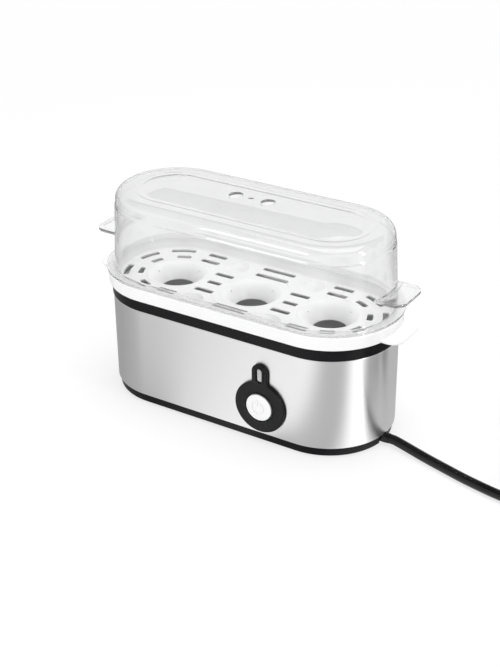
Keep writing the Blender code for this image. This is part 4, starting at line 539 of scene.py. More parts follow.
def clear_plastic():
    """Polished clear plastic, a little grey where it is thick.

    Shadows, diffuse light and rays that have met several faces go straight through, which leaves no noise.
    """
    made, shader = material_base("clear_plastic_wall", (0.985, 0.988, 0.99), 0.0, extra={
        "Transmission Weight": 1.0, "IOR": 1.18, "Coat Weight": 1.0, "Coat IOR": 1.5, "Coat Roughness": 0.0})
    tree = made.node_tree
    tint(shader, grain(shader, (35.0, 35.0, 20.0), 1.0), (0.98, 0.982, 0.984), (0.992, 0.994, 0.996))
    smoke = add_node(tree, "ShaderNodeVolumeAbsorption", {"Color": (*grey(0.0), 1), "Density": 32.0})
    open_way = add_node(tree, "ShaderNodeBsdfTransparent", {"Color": (*grey(0.99), 1)})
    path = add_node(tree, "ShaderNodeLightPath").outputs
    soft = maths(tree, "MAXIMUM", path["Is Shadow Ray"], path["Is Diffuse Ray"])
    soft = maths(tree, "MAXIMUM", soft, maths(tree, "GREATER_THAN", path["Ray Depth"], 2.5))
    whole = blend_shaders(tree, soft, shader.outputs["BSDF"], open_way.outputs["BSDF"])
    fill(tree.nodes["Material Output"], {"Surface": whole, "Volume": smoke.outputs["Volume"]})
    return made


def frosted_plastic():
    """The lamp's window: clear plastic with a fine frost that hides the lamp until it lights."""
    made, shader = material_base("frosted_window", grey(0.40), 0.1, extra={
        "Transmission Weight": 0.35, "IOR": 1.49, "Specular IOR Level": 0.9})
    frost = grain(shader, 1500.0, 2.0)
    tint(shader, frost, grey(0.52), grey(0.85))
    rough_with(shader, frost, 0.08, 0.14)
    return made


def bare_metal(name, low, high, roughness=0.3):
    made, shader = material_base(name, low, roughness, 1.0)
    marks = grain(shader, 700.0, 4.0)
    tint(shader, marks, low, high)
    rough_with(shader, marks, roughness * 0.8, roughness * 1.3)
    return made


def pan_coating():
    """Satin grey coating with fine metallic specks; its base colour is darkened on the floor as painted shade and
    lightened up the wall as painted light.
    """
    made, shader = material_base("pan_coating_grey", (0.34, 0.34, 0.35), 0.42, 0.6)
    tree = made.node_tree
    specks = grain(shader, 2600.0, 2.0)
    where = add_node(tree, "ShaderNodeTexCoord").outputs["Object"]
    height = add_node(tree, "ShaderNodeSeparateXYZ", {0: where}).outputs["Z"]
    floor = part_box("heating_pan")[0].z
    # Painted shade on the pan's floor and painted light up its wall: the base colour is scaled by height.
    painted_light_by_height = map_range(tree, height, floor + 0.003, floor + 0.008, 0.3, 0.84)
    inputs = {0: spread(shader, specks, 0.9, 1.1), "Scale": painted_light_by_height}
    shade = add_node(tree, "ShaderNodeVectorMath", inputs, operation="SCALE")
    fill(shader, {"Base Color": shade.outputs[0]})
    rough_with(shader, specks, 0.34, 0.5)
    relief(shader, specks, 0.00001)
    return made


def lamp_glass():
    extra = {"Transmission Weight": 0.8, "IOR": 1.5}
    made, shader = material_base("lamp_amber", (0.9, 0.5, 0.2), 0.05, extra=extra)
    rough_with(shader, grain(shader, 300.0), 0.03, 0.09)
    return made


# Pieces

def steel_sleeve(material):
    sheet = 0.0006
    hem = 0.0020
    inner = STEEL_RADIUS - sheet
    mesh = swept_mesh(ring_profile([
        (STEEL_RADIUS, STEEL_HIGH, sheet * 0.9),
        (STEEL_RADIUS, STEEL_LOW, sheet),
        (inner - hem, STEEL_LOW, sheet / 3),
        (inner - hem, STEEL_LOW + sheet, sheet / 3),
        (inner, STEEL_LOW + sheet, 0),
        (inner, STEEL_HIGH, sheet / 3),
    ], 3), steps=64)
    piece = link_piece("steel_sleeve", mesh, material, weighted=True)
    depth = 4 * OVERRUN
    button_hole = arc(0, 0, BUTTON_BORE + 0.0016, 0, 354, 59)
    lens_hole = stadium(0, 0, LENS_HALF_WIDTH + LENS_FRAME, LENS_HALF_HEIGHT + LENS_FRAME)
    for outline, height in ((button_hole, CONTROL_HEIGHT), (lens_hole, CONTROL_HEIGHT + LENS_HEIGHT)):
        cut(piece, plate_mesh([outline], depth, upright(CONTROL_X, -inner, height)))
    sleeve_low, sleeve_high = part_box("strain_relief")
    middle = (sleeve_low + sleeve_high) / 2
    radius = (sleeve_high.z - sleeve_low.z) / 2 + 0.0003
    along = lengthwise(EGG_PITCH + inner - 2 * hem, middle.y, middle.z)
    cut(piece, turned_mesh(peg(radius, 0, depth), 40, along))
    return place_piece(piece, "base", "brushed_steel", "steel_housing")


def black_rim(material):
    low = STEEL_HIGH + 0.0003
    inner = RIM_RADIUS - 0.0028
    lip = STEEL_RADIUS - 0.0009
    mesh = swept_mesh(ring_profile([
        (RIM_RADIUS, low, 0.0004),
        (lip, low, 0),
        (lip, STEEL_HIGH - 0.0032, 0.0003),
        (lip - 0.0014, STEEL_HIGH - 0.0032, 0.0003),
        (lip - 0.0014, STEEL_HIGH, 0),
        (0.0370, STEEL_HIGH, 0.0004),
        (0.0370, STEEL_HIGH + 0.0023, 0.0004),
        (inner, STEEL_HIGH + 0.0023, 0.0006),
        (inner, RIM_TOP, 0.0005),
        (RIM_RADIUS, RIM_TOP, 0.0009),
    ]), steps=64)
    piece = link_piece("black_rim", mesh, material, weighted=True)
    post_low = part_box("top_rim")[0].z
    post = [(0, STEEL_HIGH + 0.001), (POST_RADIUS, STEEL_HIGH + 0.001), (POST_RADIUS, post_low), (POST_BORE, post_low),
            (POST_BORE, post_low + 0.0085), (0, post_low + 0.0095)]
    for x, y in four_corners(POST_X, POST_Y):
        join(piece, turned_mesh(post, 24, at(x, y, 0)))
    return place_piece(piece, "base", "black_plastic", "top_rim")


def black_base(material):
    wall, floor = 0.0020, 0.0022
    lip = STEEL_RADIUS - 0.0029
    lip_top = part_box("bottom_cover")[1].z
    shoulder = STEEL_LOW - 0.0003
    low_radius = BASE_RADIUS - 0.0006
    mesh = swept_mesh(rounded([
        (0, BASE_LOW + floor, 0),
        (lip - 0.0016, BASE_LOW + floor, 0.0010),
        (lip - 0.0016, lip_top, 0.0004),
        (lip, lip_top, 0.0004),
        (lip, shoulder, 0),
        (BASE_RADIUS, shoulder, 0.0003),
        (low_radius, BASE_LOW, 0.0009),
        (low_radius - 2 * wall, BASE_LOW, 0.0004),
        (low_radius - 2 * wall - 0.0004, BASE_LOW + 0.0004, 0.0004),
        (0, BASE_LOW + 0.0004, 0),
    ]), steps=64)
    piece = link_piece("black_base", mesh, material, weighted=True)
    bores = bmesh.new()
    seat = BASE_LOW + 0.0032
    bore = [(0, lip_top + OVERRUN), (POST_BORE, lip_top + OVERRUN), (POST_BORE, seat), (SCREW_HEAD_RADIUS, seat),
            (SCREW_HEAD_RADIUS, -OVERRUN), (0, -OVERRUN)]
    for x, y in four_corners(POST_X, POST_Y):
        add_turned(bores, bore, 28, at(x, y, 0))
    for x, y in four_corners(EGG_PITCH, FOOT_Y):
        add_turned(bores, peg(FOOT_RECESS_RADIUS, -OVERRUN, FOOT_RECESS_DEPTH), 40, at(x, y, 0))
    cut(piece, mesh_from(bores))
    vents = [stadium(VENT_PITCH * i, 0, VENT_HALF_WIDTH, VENT_HALF_LENGTH, 6) for i in (-2, -1, 0, 1, 2)]
    cut(piece, plate_mesh(vents, 0.02, at(0, 0, 0)))
    sleeve_low, sleeve_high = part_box("strain_relief")
    channel = bmesh.new()
    bmesh.ops.create_cube(channel, size=1)
    size = Vector((0.030, sleeve_high.y - sleeve_low.y + 0.0006, 0.03))
    middle = Vector((sleeve_low.x - 0.0003 + size.x / 2, (sleeve_low.y + sleeve_high.y) / 2, 0))
    bmesh.ops.transform(channel, matrix=at(*middle) @ Matrix.Diagonal((*size, 1)), verts=channel.verts)
    cut(piece, mesh_from(channel))
    return place_piece(piece, "base", "black_plastic", "bottom_cover")


def water_pan(material):
    low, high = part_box("heating_pan")
    sheet = 0.0012
    flange = high.y
    mesh = swept_mesh(rounded([
        (0, low.z + sheet, 0),
        (0.0326, low.z + sheet, 0.0045),
        (0.0338, high.z, 0.0010),
        (flange, high.z, 0.0004),
        (flange, high.z - sheet, 0.0004),
        (0.0350, high.z - sheet, 0.0018),
        (0.0338, low.z, 0.0055),
        (0, low.z, 0),
    ], 6))
    piece = link_piece("water_pan", mesh, material, weighted=True)
    return place_piece(piece, "base", "pan_coating", "heating_pan")


def cup_profile():
    """The cup's face from its soft lip down the funnel to the throat, and its underside a wall away."""
    span = CUP_MOUTH_RADIUS - CUP_THROAT_RADIUS
    top = TRAY_FLOOR_TOP + CUP_LIP
    inner = []
    for i in range(19):
        share = 1 - i / 18
        fall = (1 - share) ** 1.9 * 0.86 + 0.14 * (1 - share)
        inner.append((CUP_THROAT_RADIUS + span * share - 0.0006 * share, top - CUP_DEPTH * fall))
    lip = [(CUP_MOUTH_RADIUS + 0.0011, TRAY_FLOOR_TOP - 0.0002), (CUP_MOUTH_RADIUS + 0.0004, TRAY_FLOOR_TOP + 0.00012),
           (CUP_MOUTH_RADIUS - 0.0002, top - 0.00003)]
    throat_x, throat_y = inner[-1]
    foot = [(throat_x + 0.0003, throat_y - 0.0006), (throat_x + 0.0009, throat_y - 0.0006)]
    outer = [(radius + 0.0009, height - 0.0008) for radius, height in reversed(inner[2:-1])]
    chain = lip + inner + foot + outer + [(CUP_MOUTH_RADIUS + 0.0011, TRAY_FLOOR_TOP - TRAY_SHEET + 0.0002)]
    return [*chain, chain[0]]


def dimple_profile():
    face = []
    for i in range(13):
        share = 1 - i / 12
        face.append((DIMPLE_RADIUS * share, TRAY_FLOOR_TOP + 0.0001 - DIMPLE_DEPTH * (1 - share ** 2.4)))
    under = [(DIMPLE_RADIUS * share, TRAY_FLOOR_TOP - DIMPLE_DEPTH * (1 - share ** 2.4) - TRAY_SHEET)
             for share in (0, 0.3, 0.6, 0.85, 1)]
    start = (DIMPLE_RADIUS + 0.0008, TRAY_FLOOR_TOP - 0.0002)
    end = (DIMPLE_RADIUS + 0.0008, TRAY_FLOOR_TOP - TRAY_SHEET + 0.0002)
    return [start, (DIMPLE_RADIUS + 0.0003, TRAY_FLOOR_TOP + 0.00006), *face, *under, end, start]


def arc_slot(centre_x, line, start_deg, end_deg):
    """A curved slot with round corners, as an outline."""
    half = SLOT_WIDTH / 2
    corner = SLOT_CORNER
    ease = math.degrees(corner / line)
    far, near = line + half - corner, line - half + corner
    outline = arc(centre_x, 0, line + half, start_deg + 2 * ease, end_deg - 2 * ease, 8)
    for i, (reach, angle_deg) in enumerate((
        (far, end_deg - ease), (near, end_deg - ease), (near, start_deg + ease), (far, start_deg + ease),
    )):
        angle = math.radians(angle_deg)
        x, y = centre_x + reach * math.cos(angle), reach * math.sin(angle)
        outline += arc(x, y, corner, angle_deg + 90 * i, angle_deg + 90 * (i + 1), 4)
        if i == 1:
            outline += arc(centre_x, 0, line - half, end_deg - 2 * ease, start_deg + 2 * ease, 8)
    return outline


def straight_slot(x, y, length):
    half, wide = length / 2, SLOT_WIDTH / 2
    corner = SLOT_CORNER
    corners = [(half, wide, corner), (-half, wide, corner), (-half, -wide, corner), (half, -wide, corner)]
    return [(x + px, y + py) for px, py in rounded(corners, 4, closed=True)]


def slot_outlines():
    for line in (INNER_SLOT_LINE, OUTER_SLOT_LINE):
        for y in (-line, line):
            yield straight_slot(0, y, MIDDLE_SLOT_LENGTH)
            yield straight_slot(-SIDE_SLOT_X, y, SIDE_SLOT_LENGTH)
            yield straight_slot(SIDE_SLOT_X, y, SIDE_SLOT_LENGTH)
    for line, spans in ((INNER_SLOT_LINE, INNER_SLOT_SPANS_DEG), (OUTER_SLOT_LINE, OUTER_SLOT_SPANS_DEG)):
        for start, end in spans:
            for low, high in ((start, end), (-end, -start)):
                yield arc_slot(EGG_PITCH, line, low, high)
                yield arc_slot(-EGG_PITCH, line, low + 180, high + 180)
    for x in (-EGG_PITCH / 2, EGG_PITCH / 2):
        for row, length in zip((-1, 0, 1), BRIDGE_SLOT_LENGTHS):
            yield straight_slot(x, row * BRIDGE_SLOT_PITCH, length)


def tab_mesh(root_radius, tip, low, high, side, border=0.0, edge=0.0005):
    """A grip tab: its root follows the wall and its tip has round corners."""
    half, corner = TAB_HALF_WIDTH - border, TAB_CORNER - border
    spread_deg = math.degrees(math.asin(half / (root_radius + border)))
    outline = arc(EGG_PITCH, 0, root_radius + border, spread_deg, -spread_deg, 16)
    outline += arc(tip - border - corner, -half + corner, corner, -90, 0, 10)
    outline += arc(tip - border - corner, half - corner, corner, 0, 90, 10)
    place = at(0, 0, (low + high) / 2) @ Matrix.Rotation(0 if side > 0 else math.pi, 4, "Z")
    return plate_mesh([outline], high - low, place, edge)


def slotted_tray(material):
    wall, sheet = TRAY_WALL, TRAY_SHEET
    inner_foot = TRAY_INNER_LOW - sheet / 2
    skirt_low = TRAY_LOW - TRAY_SKIRT_DEPTH
    channel = TRAY_INNER_LOW + wall
    mesh = swept_mesh(rounded([
        (0, TRAY_FLOOR_TOP, 0),
        (inner_foot, TRAY_FLOOR_TOP, 0.0016),
        (TRAY_INNER_TOP, TRAY_TOP, 0.0010),
        (TRAY_TOP_RADIUS, TRAY_TOP, 0.0011),
        (TRAY_RADIUS, TRAY_LOW, 0.0005),
        (TRAY_RADIUS - wall, TRAY_LOW, 0.0005),
        (TRAY_TOP_RADIUS - wall, TRAY_TOP - wall, 0.0004),
        (channel + sheet / 4, TRAY_TOP - wall, 0.0004),
        (channel, TRAY_LOW, 0),
        (TRAY_SKIRT_RADIUS, TRAY_LOW, 0),
        (TRAY_SKIRT_RADIUS, skirt_low, 0.0004),
        (TRAY_SKIRT_RADIUS - wall, skirt_low, 0.0004),
        (TRAY_SKIRT_RADIUS - wall, TRAY_FLOOR_TOP - sheet, 0.0004),
        (0, TRAY_FLOOR_TOP - sheet, 0),
    ]), steps=64)
    piece = link_piece("slotted_tray", mesh, material)
    tab_low = TRAY_LOW + 0.0003
    tab_high = tab_low + TRAY_TAB_THICKNESS
    for side in (1, -1):
        join(piece, tab_mesh(TRAY_RADIUS - wall / 2, TRAY_REACH, tab_low, tab_high, side, edge=0.0008))
    cut(piece, plate_mesh(list(slot_outlines()), 4 * sheet, at(0, 0, TRAY_FLOOR_TOP - sheet / 2)))
    soften_slot_edges(piece)
    cup_places = [at(x, 0, 0) for x in (-EGG_PITCH, 0, EGG_PITCH)]
    dimple_places = [at(x, y, 0) for x, y in four_corners(EGG_PITCH / 2, DIMPLE_LINE)]
    low, high = TRAY_FLOOR_TOP - 2 * sheet, TRAY_FLOOR_TOP + sheet
    mouths, bowls = bmesh.new(), bmesh.new()
    for places, opening, profile, steps in (
        (cup_places, CUP_MOUTH_RADIUS + 0.0001, cup_profile(), CUP_STEPS),
        (dimple_places, DIMPLE_RADIUS - 0.0002, dimple_profile(), CUP_STEPS // 2),
    ):
        for place in places:
            add_turned(mouths, peg(opening, low, high), steps, place)
            add_turned(bowls, profile, steps, place)
    cut(piece, mesh_from(mouths))
    join(piece, mesh_from(bowls))
    ribs = bmesh.new()
    line = (CUP_MOUTH_RADIUS + CUP_THROAT_RADIUS) / 2
    for place in cup_places:
        for angle_deg in RIB_ANGLES_DEG:
            made = bmesh.ops.create_uvsphere(ribs, u_segments=16, v_segments=10, radius=1)["verts"]
            stand = Matrix.Rotation(math.radians(angle_deg), 4, "Z") @ at(line, 0, TRAY_FLOOR_TOP - RIB_DROP)
            lean = Matrix.Rotation(-math.radians(RIB_LEAN_DEG), 4, "Y")
            bmesh.ops.transform(ribs, matrix=place @ stand @ lean @ Matrix.Diagonal((*RIB_SIZE, 1)), verts=made)
    join(piece, mesh_from(ribs))
    finish_surface(piece, 40, weighted=True)
    return place_piece(piece, "tray", "white_plastic", "egg_tray")


def soften_slot_edges(piece):
    """Rounds the slots' upper and lower edges, which lie in the floor's two faces."""
    bm = bmesh.new()
    bm.from_mesh(piece.data)
    levels = (TRAY_FLOOR_TOP, TRAY_FLOOR_TOP - TRAY_SHEET)
    chosen = [
        edge for edge in bm.edges
        if len(edge.link_faces) == 2
        and any(all(abs(vert.co.z - level) < 1e-6 for vert in edge.verts) for level in levels)
        and abs(edge.calc_face_angle(0) - math.pi / 2) < 0.1
        and min(abs(face.normal.z) for face in edge.link_faces) < 0.1
        and max(face.calc_area() for face in edge.link_faces) > 1e-4
        and edge.calc_length() < SIDE_SLOT_LENGTH * 2
    ]
    bmesh.ops.bevel(bm, geom=chosen, offset=0.00028, offset_type="OFFSET", affect="EDGES", segments=2, profile=0.5,
                    material=-1, clamp_overlap=True)
    bm.to_mesh(piece.data)
    bm.free()


def lid_wall_radius(height):
    return LID_WALL_RADIUS - LID_DRAFT_SHARE * (height - FLANGE_TOP)


def lid_profile():
    """The lid's section, with the inner face a wall's thickness under the outer one."""
    shoulder_low = LID_RING - LID_SHOULDER
    shoulder_line = lid_wall_radius(shoulder_low) - LID_STEP - LID_SHOULDER
    bend = PANEL_RADIUS - GROOVE_WIDTH
    fall = LID_TOP - LID_RING + PANEL_STEP
    bend_fall = fall / (1 + GROOVE_WIDTH / bend)
    crown = [(bend * i / 14, LID_TOP - bend_fall * (i / 14) ** 2) for i in range(15)]
    slope = 2 * bend_fall / bend
    for i in range(1, 8):
        run = GROOVE_WIDTH * i / 8
        crown.append((bend + run, LID_TOP - bend_fall - slope * run * (1 - run / GROOVE_WIDTH / 2)))
    groove = [(*crown[-1], 0), (PANEL_RADIUS, LID_RING - PANEL_STEP, 0.0002),
              (PANEL_RADIUS + GROOVE_WIDTH / 2, LID_RING, 0.0012), (shoulder_line, LID_RING, 0)]
    step = [(lid_wall_radius(LID_STEP_HEIGHT) - LID_STEP, LID_STEP_HEIGHT + 0.0007, 0.0004),
            (lid_wall_radius(LID_STEP_HEIGHT), LID_STEP_HEIGHT - 0.0005, 0.0004)]
    skirt_outer = TRAY_INNER_LOW - 0.0005
    inner_step = [(radius - LID_WALL, height, round_off) for radius, height, round_off in reversed(step)]
    wall = rounded([
        (shoulder_line + LID_SHOULDER, shoulder_low, 0),
        *step,
        (LID_WALL_RADIUS, FLANGE_TOP, 0.0010),
        (LID_RADIUS, FLANGE_TOP, 0.0007),
        (LID_RADIUS, FLANGE_LOW, 0.0007),
        (skirt_outer, FLANGE_LOW, 0.0003),
        (skirt_outer, LID_SKIRT_LOW, 0.0004),
        (skirt_outer - LID_SKIRT_WALL, LID_SKIRT_LOW, 0.0004),
        (skirt_outer - LID_SKIRT_WALL, FLANGE_LOW, 0.0004),
        (LID_WALL_RADIUS - LID_WALL, FLANGE_LOW + 0.0002, 0.0006),
        *inner_step,
        (shoulder_line + LID_SHOULDER - LID_WALL, shoulder_low, 0),
    ], 4)
    shoulder = arc(shoulder_line, shoulder_low, LID_SHOULDER, 90, 0, 12)
    inner_shoulder = arc(shoulder_line, shoulder_low, LID_SHOULDER - LID_WALL, 0, 90, 12)
    under_groove = [(radius, height - LID_WALL) for radius, height in reversed(rounded(groove, 4))]
    under_crown = [(radius, height - LID_WALL) for radius, height in reversed(crown[:-1])]
    over = crown[:-1] + rounded(groove, 4)[:-1] + shoulder[:-1]
    return over + wall + inner_shoulder[1:-1] + under_groove + under_crown


def clear_lid(material):
    """The lid as one closed shell, so that light bends in and out of its real wall."""
    piece = link_piece("clear_lid", swept_mesh(lid_profile(), steps=72), material, sharp_deg=40)
    tab_low = LID_TAB_TOP - LID_TAB_THICKNESS
    root = lid_wall_radius(LID_TAB_TOP) - LID_WALL / 2
    for side in (1, -1):
        join(piece, tab_mesh(root, LID_REACH, tab_low, LID_TAB_TOP, side, edge=0.0007))
        low, high = LID_TAB_TOP - 0.0007, LID_TAB_TOP + 0.0020
        cut(piece, tab_mesh(root + LID_WALL / 2, LID_REACH, low, high, side, 0.0030))
    holes = bmesh.new()
    throat, under = STEAM_HOLE_RADIUS, -LID_WALL - OVERRUN
    flare = rounded([
        (0, OVERRUN, 0), (throat + OVERRUN + 0.0006, OVERRUN, 0), (throat, -0.0006, 0.0008), (throat, -0.0012, 0.0006),
        (throat + OVERRUN / 2 + 0.0004, under, 0), (0, under, 0)], 5)
    for x in (-STEAM_HOLE_X, STEAM_HOLE_X):
        place = at(x, STEAM_HOLE_Y, LID_TOP) @ Matrix.Diagonal((1, STEAM_HOLE_STRETCH, 1, 1))
        add_turned(holes, flare, 48, place)
    cut(piece, mesh_from(holes))
    ball = bmesh.new()
    bmesh.ops.create_uvsphere(ball, u_segments=40, v_segments=40, radius=LID_DIMPLE_RADIUS)
    bmesh.ops.translate(ball, verts=ball.verts, vec=(0, 0, LID_TOP + LID_DIMPLE_RADIUS - LID_DIMPLE_DEPTH))
    cut(piece, mesh_from(ball))
    finish_surface(piece, 42, weighted=True)
    return place_piece(piece, "lid", "clear_plastic", "lid")


def bezel_outline():
    """A disc with an upright tab, joined by small hollow corners."""
    radius, half = BEZEL_RADIUS, BEZEL_TAB_HALF_WIDTH
    fillet = 0.0012
    lift = math.sqrt((radius + fillet) ** 2 - (half + fillet) ** 2)
    start = math.degrees(math.atan2(lift, half + fillet))
    disc = arc(0, 0, radius, 180 - start, 360 + start, 84)
    right = arc(half + fillet, lift, fillet, 180 + start, 180, 5)
    top = arc(0, BEZEL_TAB_TOP - half, half, 0, 180, 24)
    left = arc(-half - fillet, lift, fillet, 0, -start, 5)
    return disc + right[1:] + top + left[:-1]


def control_disc(material):
    where = upright(CONTROL_X, FRONT - BEZEL_THICKNESS / 2, CONTROL_HEIGHT)
    mesh = plate_mesh([bezel_outline()], BEZEL_THICKNESS, where, edge=0.0008, edge_steps=4)
    piece = link_piece("control_disc", mesh, material, weighted=True)
    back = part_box("control_bezel")[1].y
    axis = upright(CONTROL_X, back, CONTROL_HEIGHT)
    face = back - BEZEL_FACE
    collar = face + COLLAR_PROUD
    sleeve = BUTTON_BORE + 0.0013
    ring = rounded([
        (0, collar, 0), (COLLAR_RADIUS - 0.0003, collar, 0.0006), (COLLAR_RADIUS + 0.0003, face - 0.0002, 0.0002),
        (sleeve, face - 0.0008, 0), (sleeve, 0, 0.0003), (0, 0, 0)], 5)
    join(piece, turned_mesh(ring, 72, axis))
    frame_centre = upright(CONTROL_X, BEZEL_FACE + 0.0004, CONTROL_HEIGHT + LENS_HEIGHT)
    outline = stadium(0, 0, LENS_HALF_WIDTH + LENS_FRAME, LENS_HALF_HEIGHT + LENS_FRAME, 18)
    join(piece, plate_mesh([outline], 0.0018, frame_centre, 0.0005, 4))
    bore = rounded([(0, collar + OVERRUN, 0), (BUTTON_BORE + OVERRUN + 0.0005, collar + OVERRUN, 0),
                    (BUTTON_BORE, collar - 0.0005, 0.0003), (BUTTON_BORE, -OVERRUN, 0), (0, -OVERRUN, 0)], 4)
    cut(piece, turned_mesh(bore, 72, axis))
    lens = stadium(0, 0, LENS_HALF_WIDTH + 0.0001, LENS_HALF_HEIGHT + 0.0001, 18)
    cut(piece, plate_mesh([lens], 0.02, frame_centre))
    finish_surface(piece, 40)
    return place_piece(piece, "base", "black_gloss", "control_bezel")


def lamp_window(material):
    low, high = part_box("indicator_lens")
    depth = high.y - low.y
    where = upright(CONTROL_X, (low.y + high.y) / 2, CONTROL_HEIGHT + LENS_HEIGHT)
    outline = stadium(0, 0, LENS_HALF_WIDTH, LENS_HALF_HEIGHT, 18)
    piece = link_piece("lamp_window", plate_mesh([outline], depth, where, 0.0016, 8), material)
    return place_piece(piece, "base", "clear_plastic", "indicator_lens")


def push_button(material):
    low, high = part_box("power_button")
    length = high.y - low.y
    axis = upright(CONTROL_X, high.y, CONTROL_HEIGHT)
    crown = [(BUTTON_RADIUS * 0.92 * i / 10, length - 0.0003 * (i / 10) ** 2) for i in range(11)]
    stem = 0.0026
    rest = rounded([
        (*crown[-1], 0), (BUTTON_RADIUS, length - 0.00042, 0.0007), (BUTTON_RADIUS, length - 0.0060, 0.0003),
        (stem, length - 0.0060, 0.0004), (stem, 0, 0.0003), (0, 0, 0)], 5)
    mesh = turned_mesh(crown[:-1] + rest, 72, axis)
    piece = link_piece("push_button", mesh, material, sharp_deg=40)
    half = SYMBOL_STROKE / 2
    ring = arc(0, 0, SYMBOL_LINE + half, 120, 420, 40) + arc(0, 0, SYMBOL_LINE - half, 420, 120, 40)
    low_end, high_end, corner = SYMBOL_BAR_LOW, SYMBOL_BAR_HIGH, 0.0004
    bar = rounded([(-half, low_end, corner), (half, low_end, corner), (half, high_end, corner),
                   (-half, high_end, corner)], 4, closed=True)
    where = upright(CONTROL_X, low.y + 0.00005, CONTROL_HEIGHT)
    for outline in (ring, bar):
        cut(piece, plate_mesh([outline], 0.0006, where))
    finish_surface(piece, 40)
    return place_piece(piece, "button", "button_white", "power_button")


# Lead

def smooth_route(points, count):
    points = [Vector(p) for p in points]
    padded = [2 * points[0] - points[1], *points, 2 * points[-1] - points[-2]]
    fine = []
    for before, start, end, after in zip(padded, padded[1:], padded[2:], padded[3:]):
        for i in range(24):
            t = i / 24
            fine.append(
                0.5 * ((2 * start) + (end - before) * t + (2 * before - 5 * start + 4 * end - after) * t * t
                       + (3 * start - before - 3 * end + after) * t ** 3)
            )
    fine.append(points[-1])
    lengths = [0.0]
    for a, b in zip(fine, fine[1:]):
        lengths.append(lengths[-1] + (b - a).length)
    result = []
    j = 0
    for i in range(count):
        wanted = lengths[-1] * i / (count - 1)
        while j < len(fine) - 2 and lengths[j + 1] < wanted:
            j += 1
        share = (wanted - lengths[j]) / max(lengths[j + 1] - lengths[j], 1e-12)
        result.append(fine[j].lerp(fine[j + 1], min(share, 1)))
    return result


def coil_points():
    total = COIL_TURNS_IN + 0.5 + COIL_TURNS_OUT
    turn_back = COIL_TURNS_IN + 0.25
    count = round(total * COIL_POINTS_PER_TURN)
    points = []
    for i in range(count + 1):
        turns = total * i / count
        inward = min(turns, turn_back) - max(turns - turn_back, 0)
        radius = COIL_OUTER_LINE - COIL_PITCH * inward
        climb = min(max((turns - COIL_TURNS_IN) / 0.5, 0), 1)
        height = COIL_LOW + COIL_PITCH * climb * climb * (3 - 2 * climb)
        angle = -math.pi / 2 + math.tau * turns
        across = Vector((math.cos(angle), math.sin(angle))) * radius + Vector(COIL_CENTRE)
        points.append(Vector((*across, height)))
    return points


def plug_frame():
    tilt = Matrix.Rotation(-math.pi / 2 + math.radians(PLUG_TILT_DEG), 4, "X")
    return Matrix.Translation(PLUG_ROOT) @ Matrix.Rotation(math.radians(PLUG_TURN_DEG), 4, "Z") @ tilt


def lead_path():
    """The whole free lead: the stretch on the table, the coil and the tail up to the plug."""
    coil = coil_points()
    axis = plug_frame().to_3x3() @ Vector((0, 0, 1))
    end = Vector(PLUG_ROOT) - 0.0003 * axis
    tail = smooth_route((coil[-1], *TAIL_ROUTE, end - PLUG_LEAD_IN * axis, end), TAIL_POINTS)
    return smooth_route(CORD_ROUTE, CORD_POINTS) + coil + tail[1:]


def mains_lead(material):
    path = lead_path()
    curve = bpy.data.curves.new("mains_lead", "CURVE")
    curve.dimensions = "3D"
    curve.bevel_depth = CORD_DIAMETER / 2
    curve.bevel_resolution = 7
    curve.use_fill_caps = True
    curve.twist_mode = "MINIMUM"
    spline = curve.splines.new("POLY")
    spline.points.add(len(path) - 1)
    spline.use_smooth = True
    for point, place in zip(spline.points, path):
        point.co = (*place, 1)
    curve.materials.append(material)
    piece = add_object("mains_lead", curve)
    place_piece(piece, "base", "cord_sheath", "power_cord", "cord_coil")
    length = sum((b - a).length for a, b in zip(path, path[1:]))
    return piece, length


def lead_sleeve(material):
    low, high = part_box("strain_relief")
    middle = (low + high) / 2
    length = high.x - low.x
    radius = (high.z - low.z) / 2
    axis = lengthwise(low.x, middle.y, middle.z)
    profile = rounded([(0, length, 0), (radius - 0.0003, length, 0.0003), (radius - 0.0001, length * 0.9, 0.0003),
                       (radius, length * 0.55, 0), (radius, 0, 0.0003), (0, 0, 0)], 4)
    piece = link_piece("lead_sleeve", turned_mesh(profile, 48, axis), material)
    return place_piece(piece, "base", "cord_sheath", "strain_relief")


def plug_moulding(material):
    profile = rounded([
        (0, PLUG_FACE, 0), (PLUG_FACE_RADIUS, PLUG_FACE, 0.0010), (PLUG_FACE_RADIUS, PLUG_FACE - 0.0100, 0.0016),
        (PLUG_BODY_RADIUS, 0.0310, 0.0030), (PLUG_BODY_RADIUS, 0.0160, 0.0040), (0.0052, 0.0108, 0.0030),
        (0.0035, 0.0004, 0.0004), (0.0035, 0, 0), (0, 0, 0)], 6)
    piece = link_piece("plug_moulding", turned_mesh(profile, 96, plug_frame()), material, weighted=True)
    cuts = bmesh.new()
    for side in (-1, 1):
        add_turned(cuts, peg(PIN_BORE, 0, 0.009), 32, plug_frame() @ at(side * PIN_LINE, 0, PLUG_FACE - 0.0060))
    add_turned(cuts, peg(EARTH_BORE, 0, 0.015), 32, plug_frame() @ at(0, PIN_LINE, PLUG_FACE - 0.0120))
    cut(piece, mesh_from(cuts))
    grips = bmesh.new()
    for side in (-1, 1):
        for i in range(5):
            made = bmesh.ops.create_cube(grips, size=1)["verts"]
            where = plug_frame() @ at(side * (PLUG_BODY_RADIUS + 0.0001), 0, 0.0180 + GRIP_PITCH * i)
            bmesh.ops.transform(grips, matrix=where @ Matrix.Diagonal((0.0012, 0.0110, 0.0012, 1)), verts=made)
    cut(piece, mesh_from(grips))
    finish_surface(piece, 38)
    return place_piece(piece, "base", "cord_sheath", "mains_plug")


# Studio

def tone_ramp(tree, signal, tones):
    """A grey for each place along a signal, from pairs of place and tone."""
    ramp = add_node(tree, "ShaderNodeValToRGB", {"Fac": signal})
    stops = ramp.color_ramp.elements
    stops.remove(stops[1])
    for i, (place, tone) in enumerate(tones):
        stop = stops[0] if i == 0 else stops.new(place)
        stop.position = place
        stop.color = (*grey(tone), 1)
    return ramp.outputs["Color"]


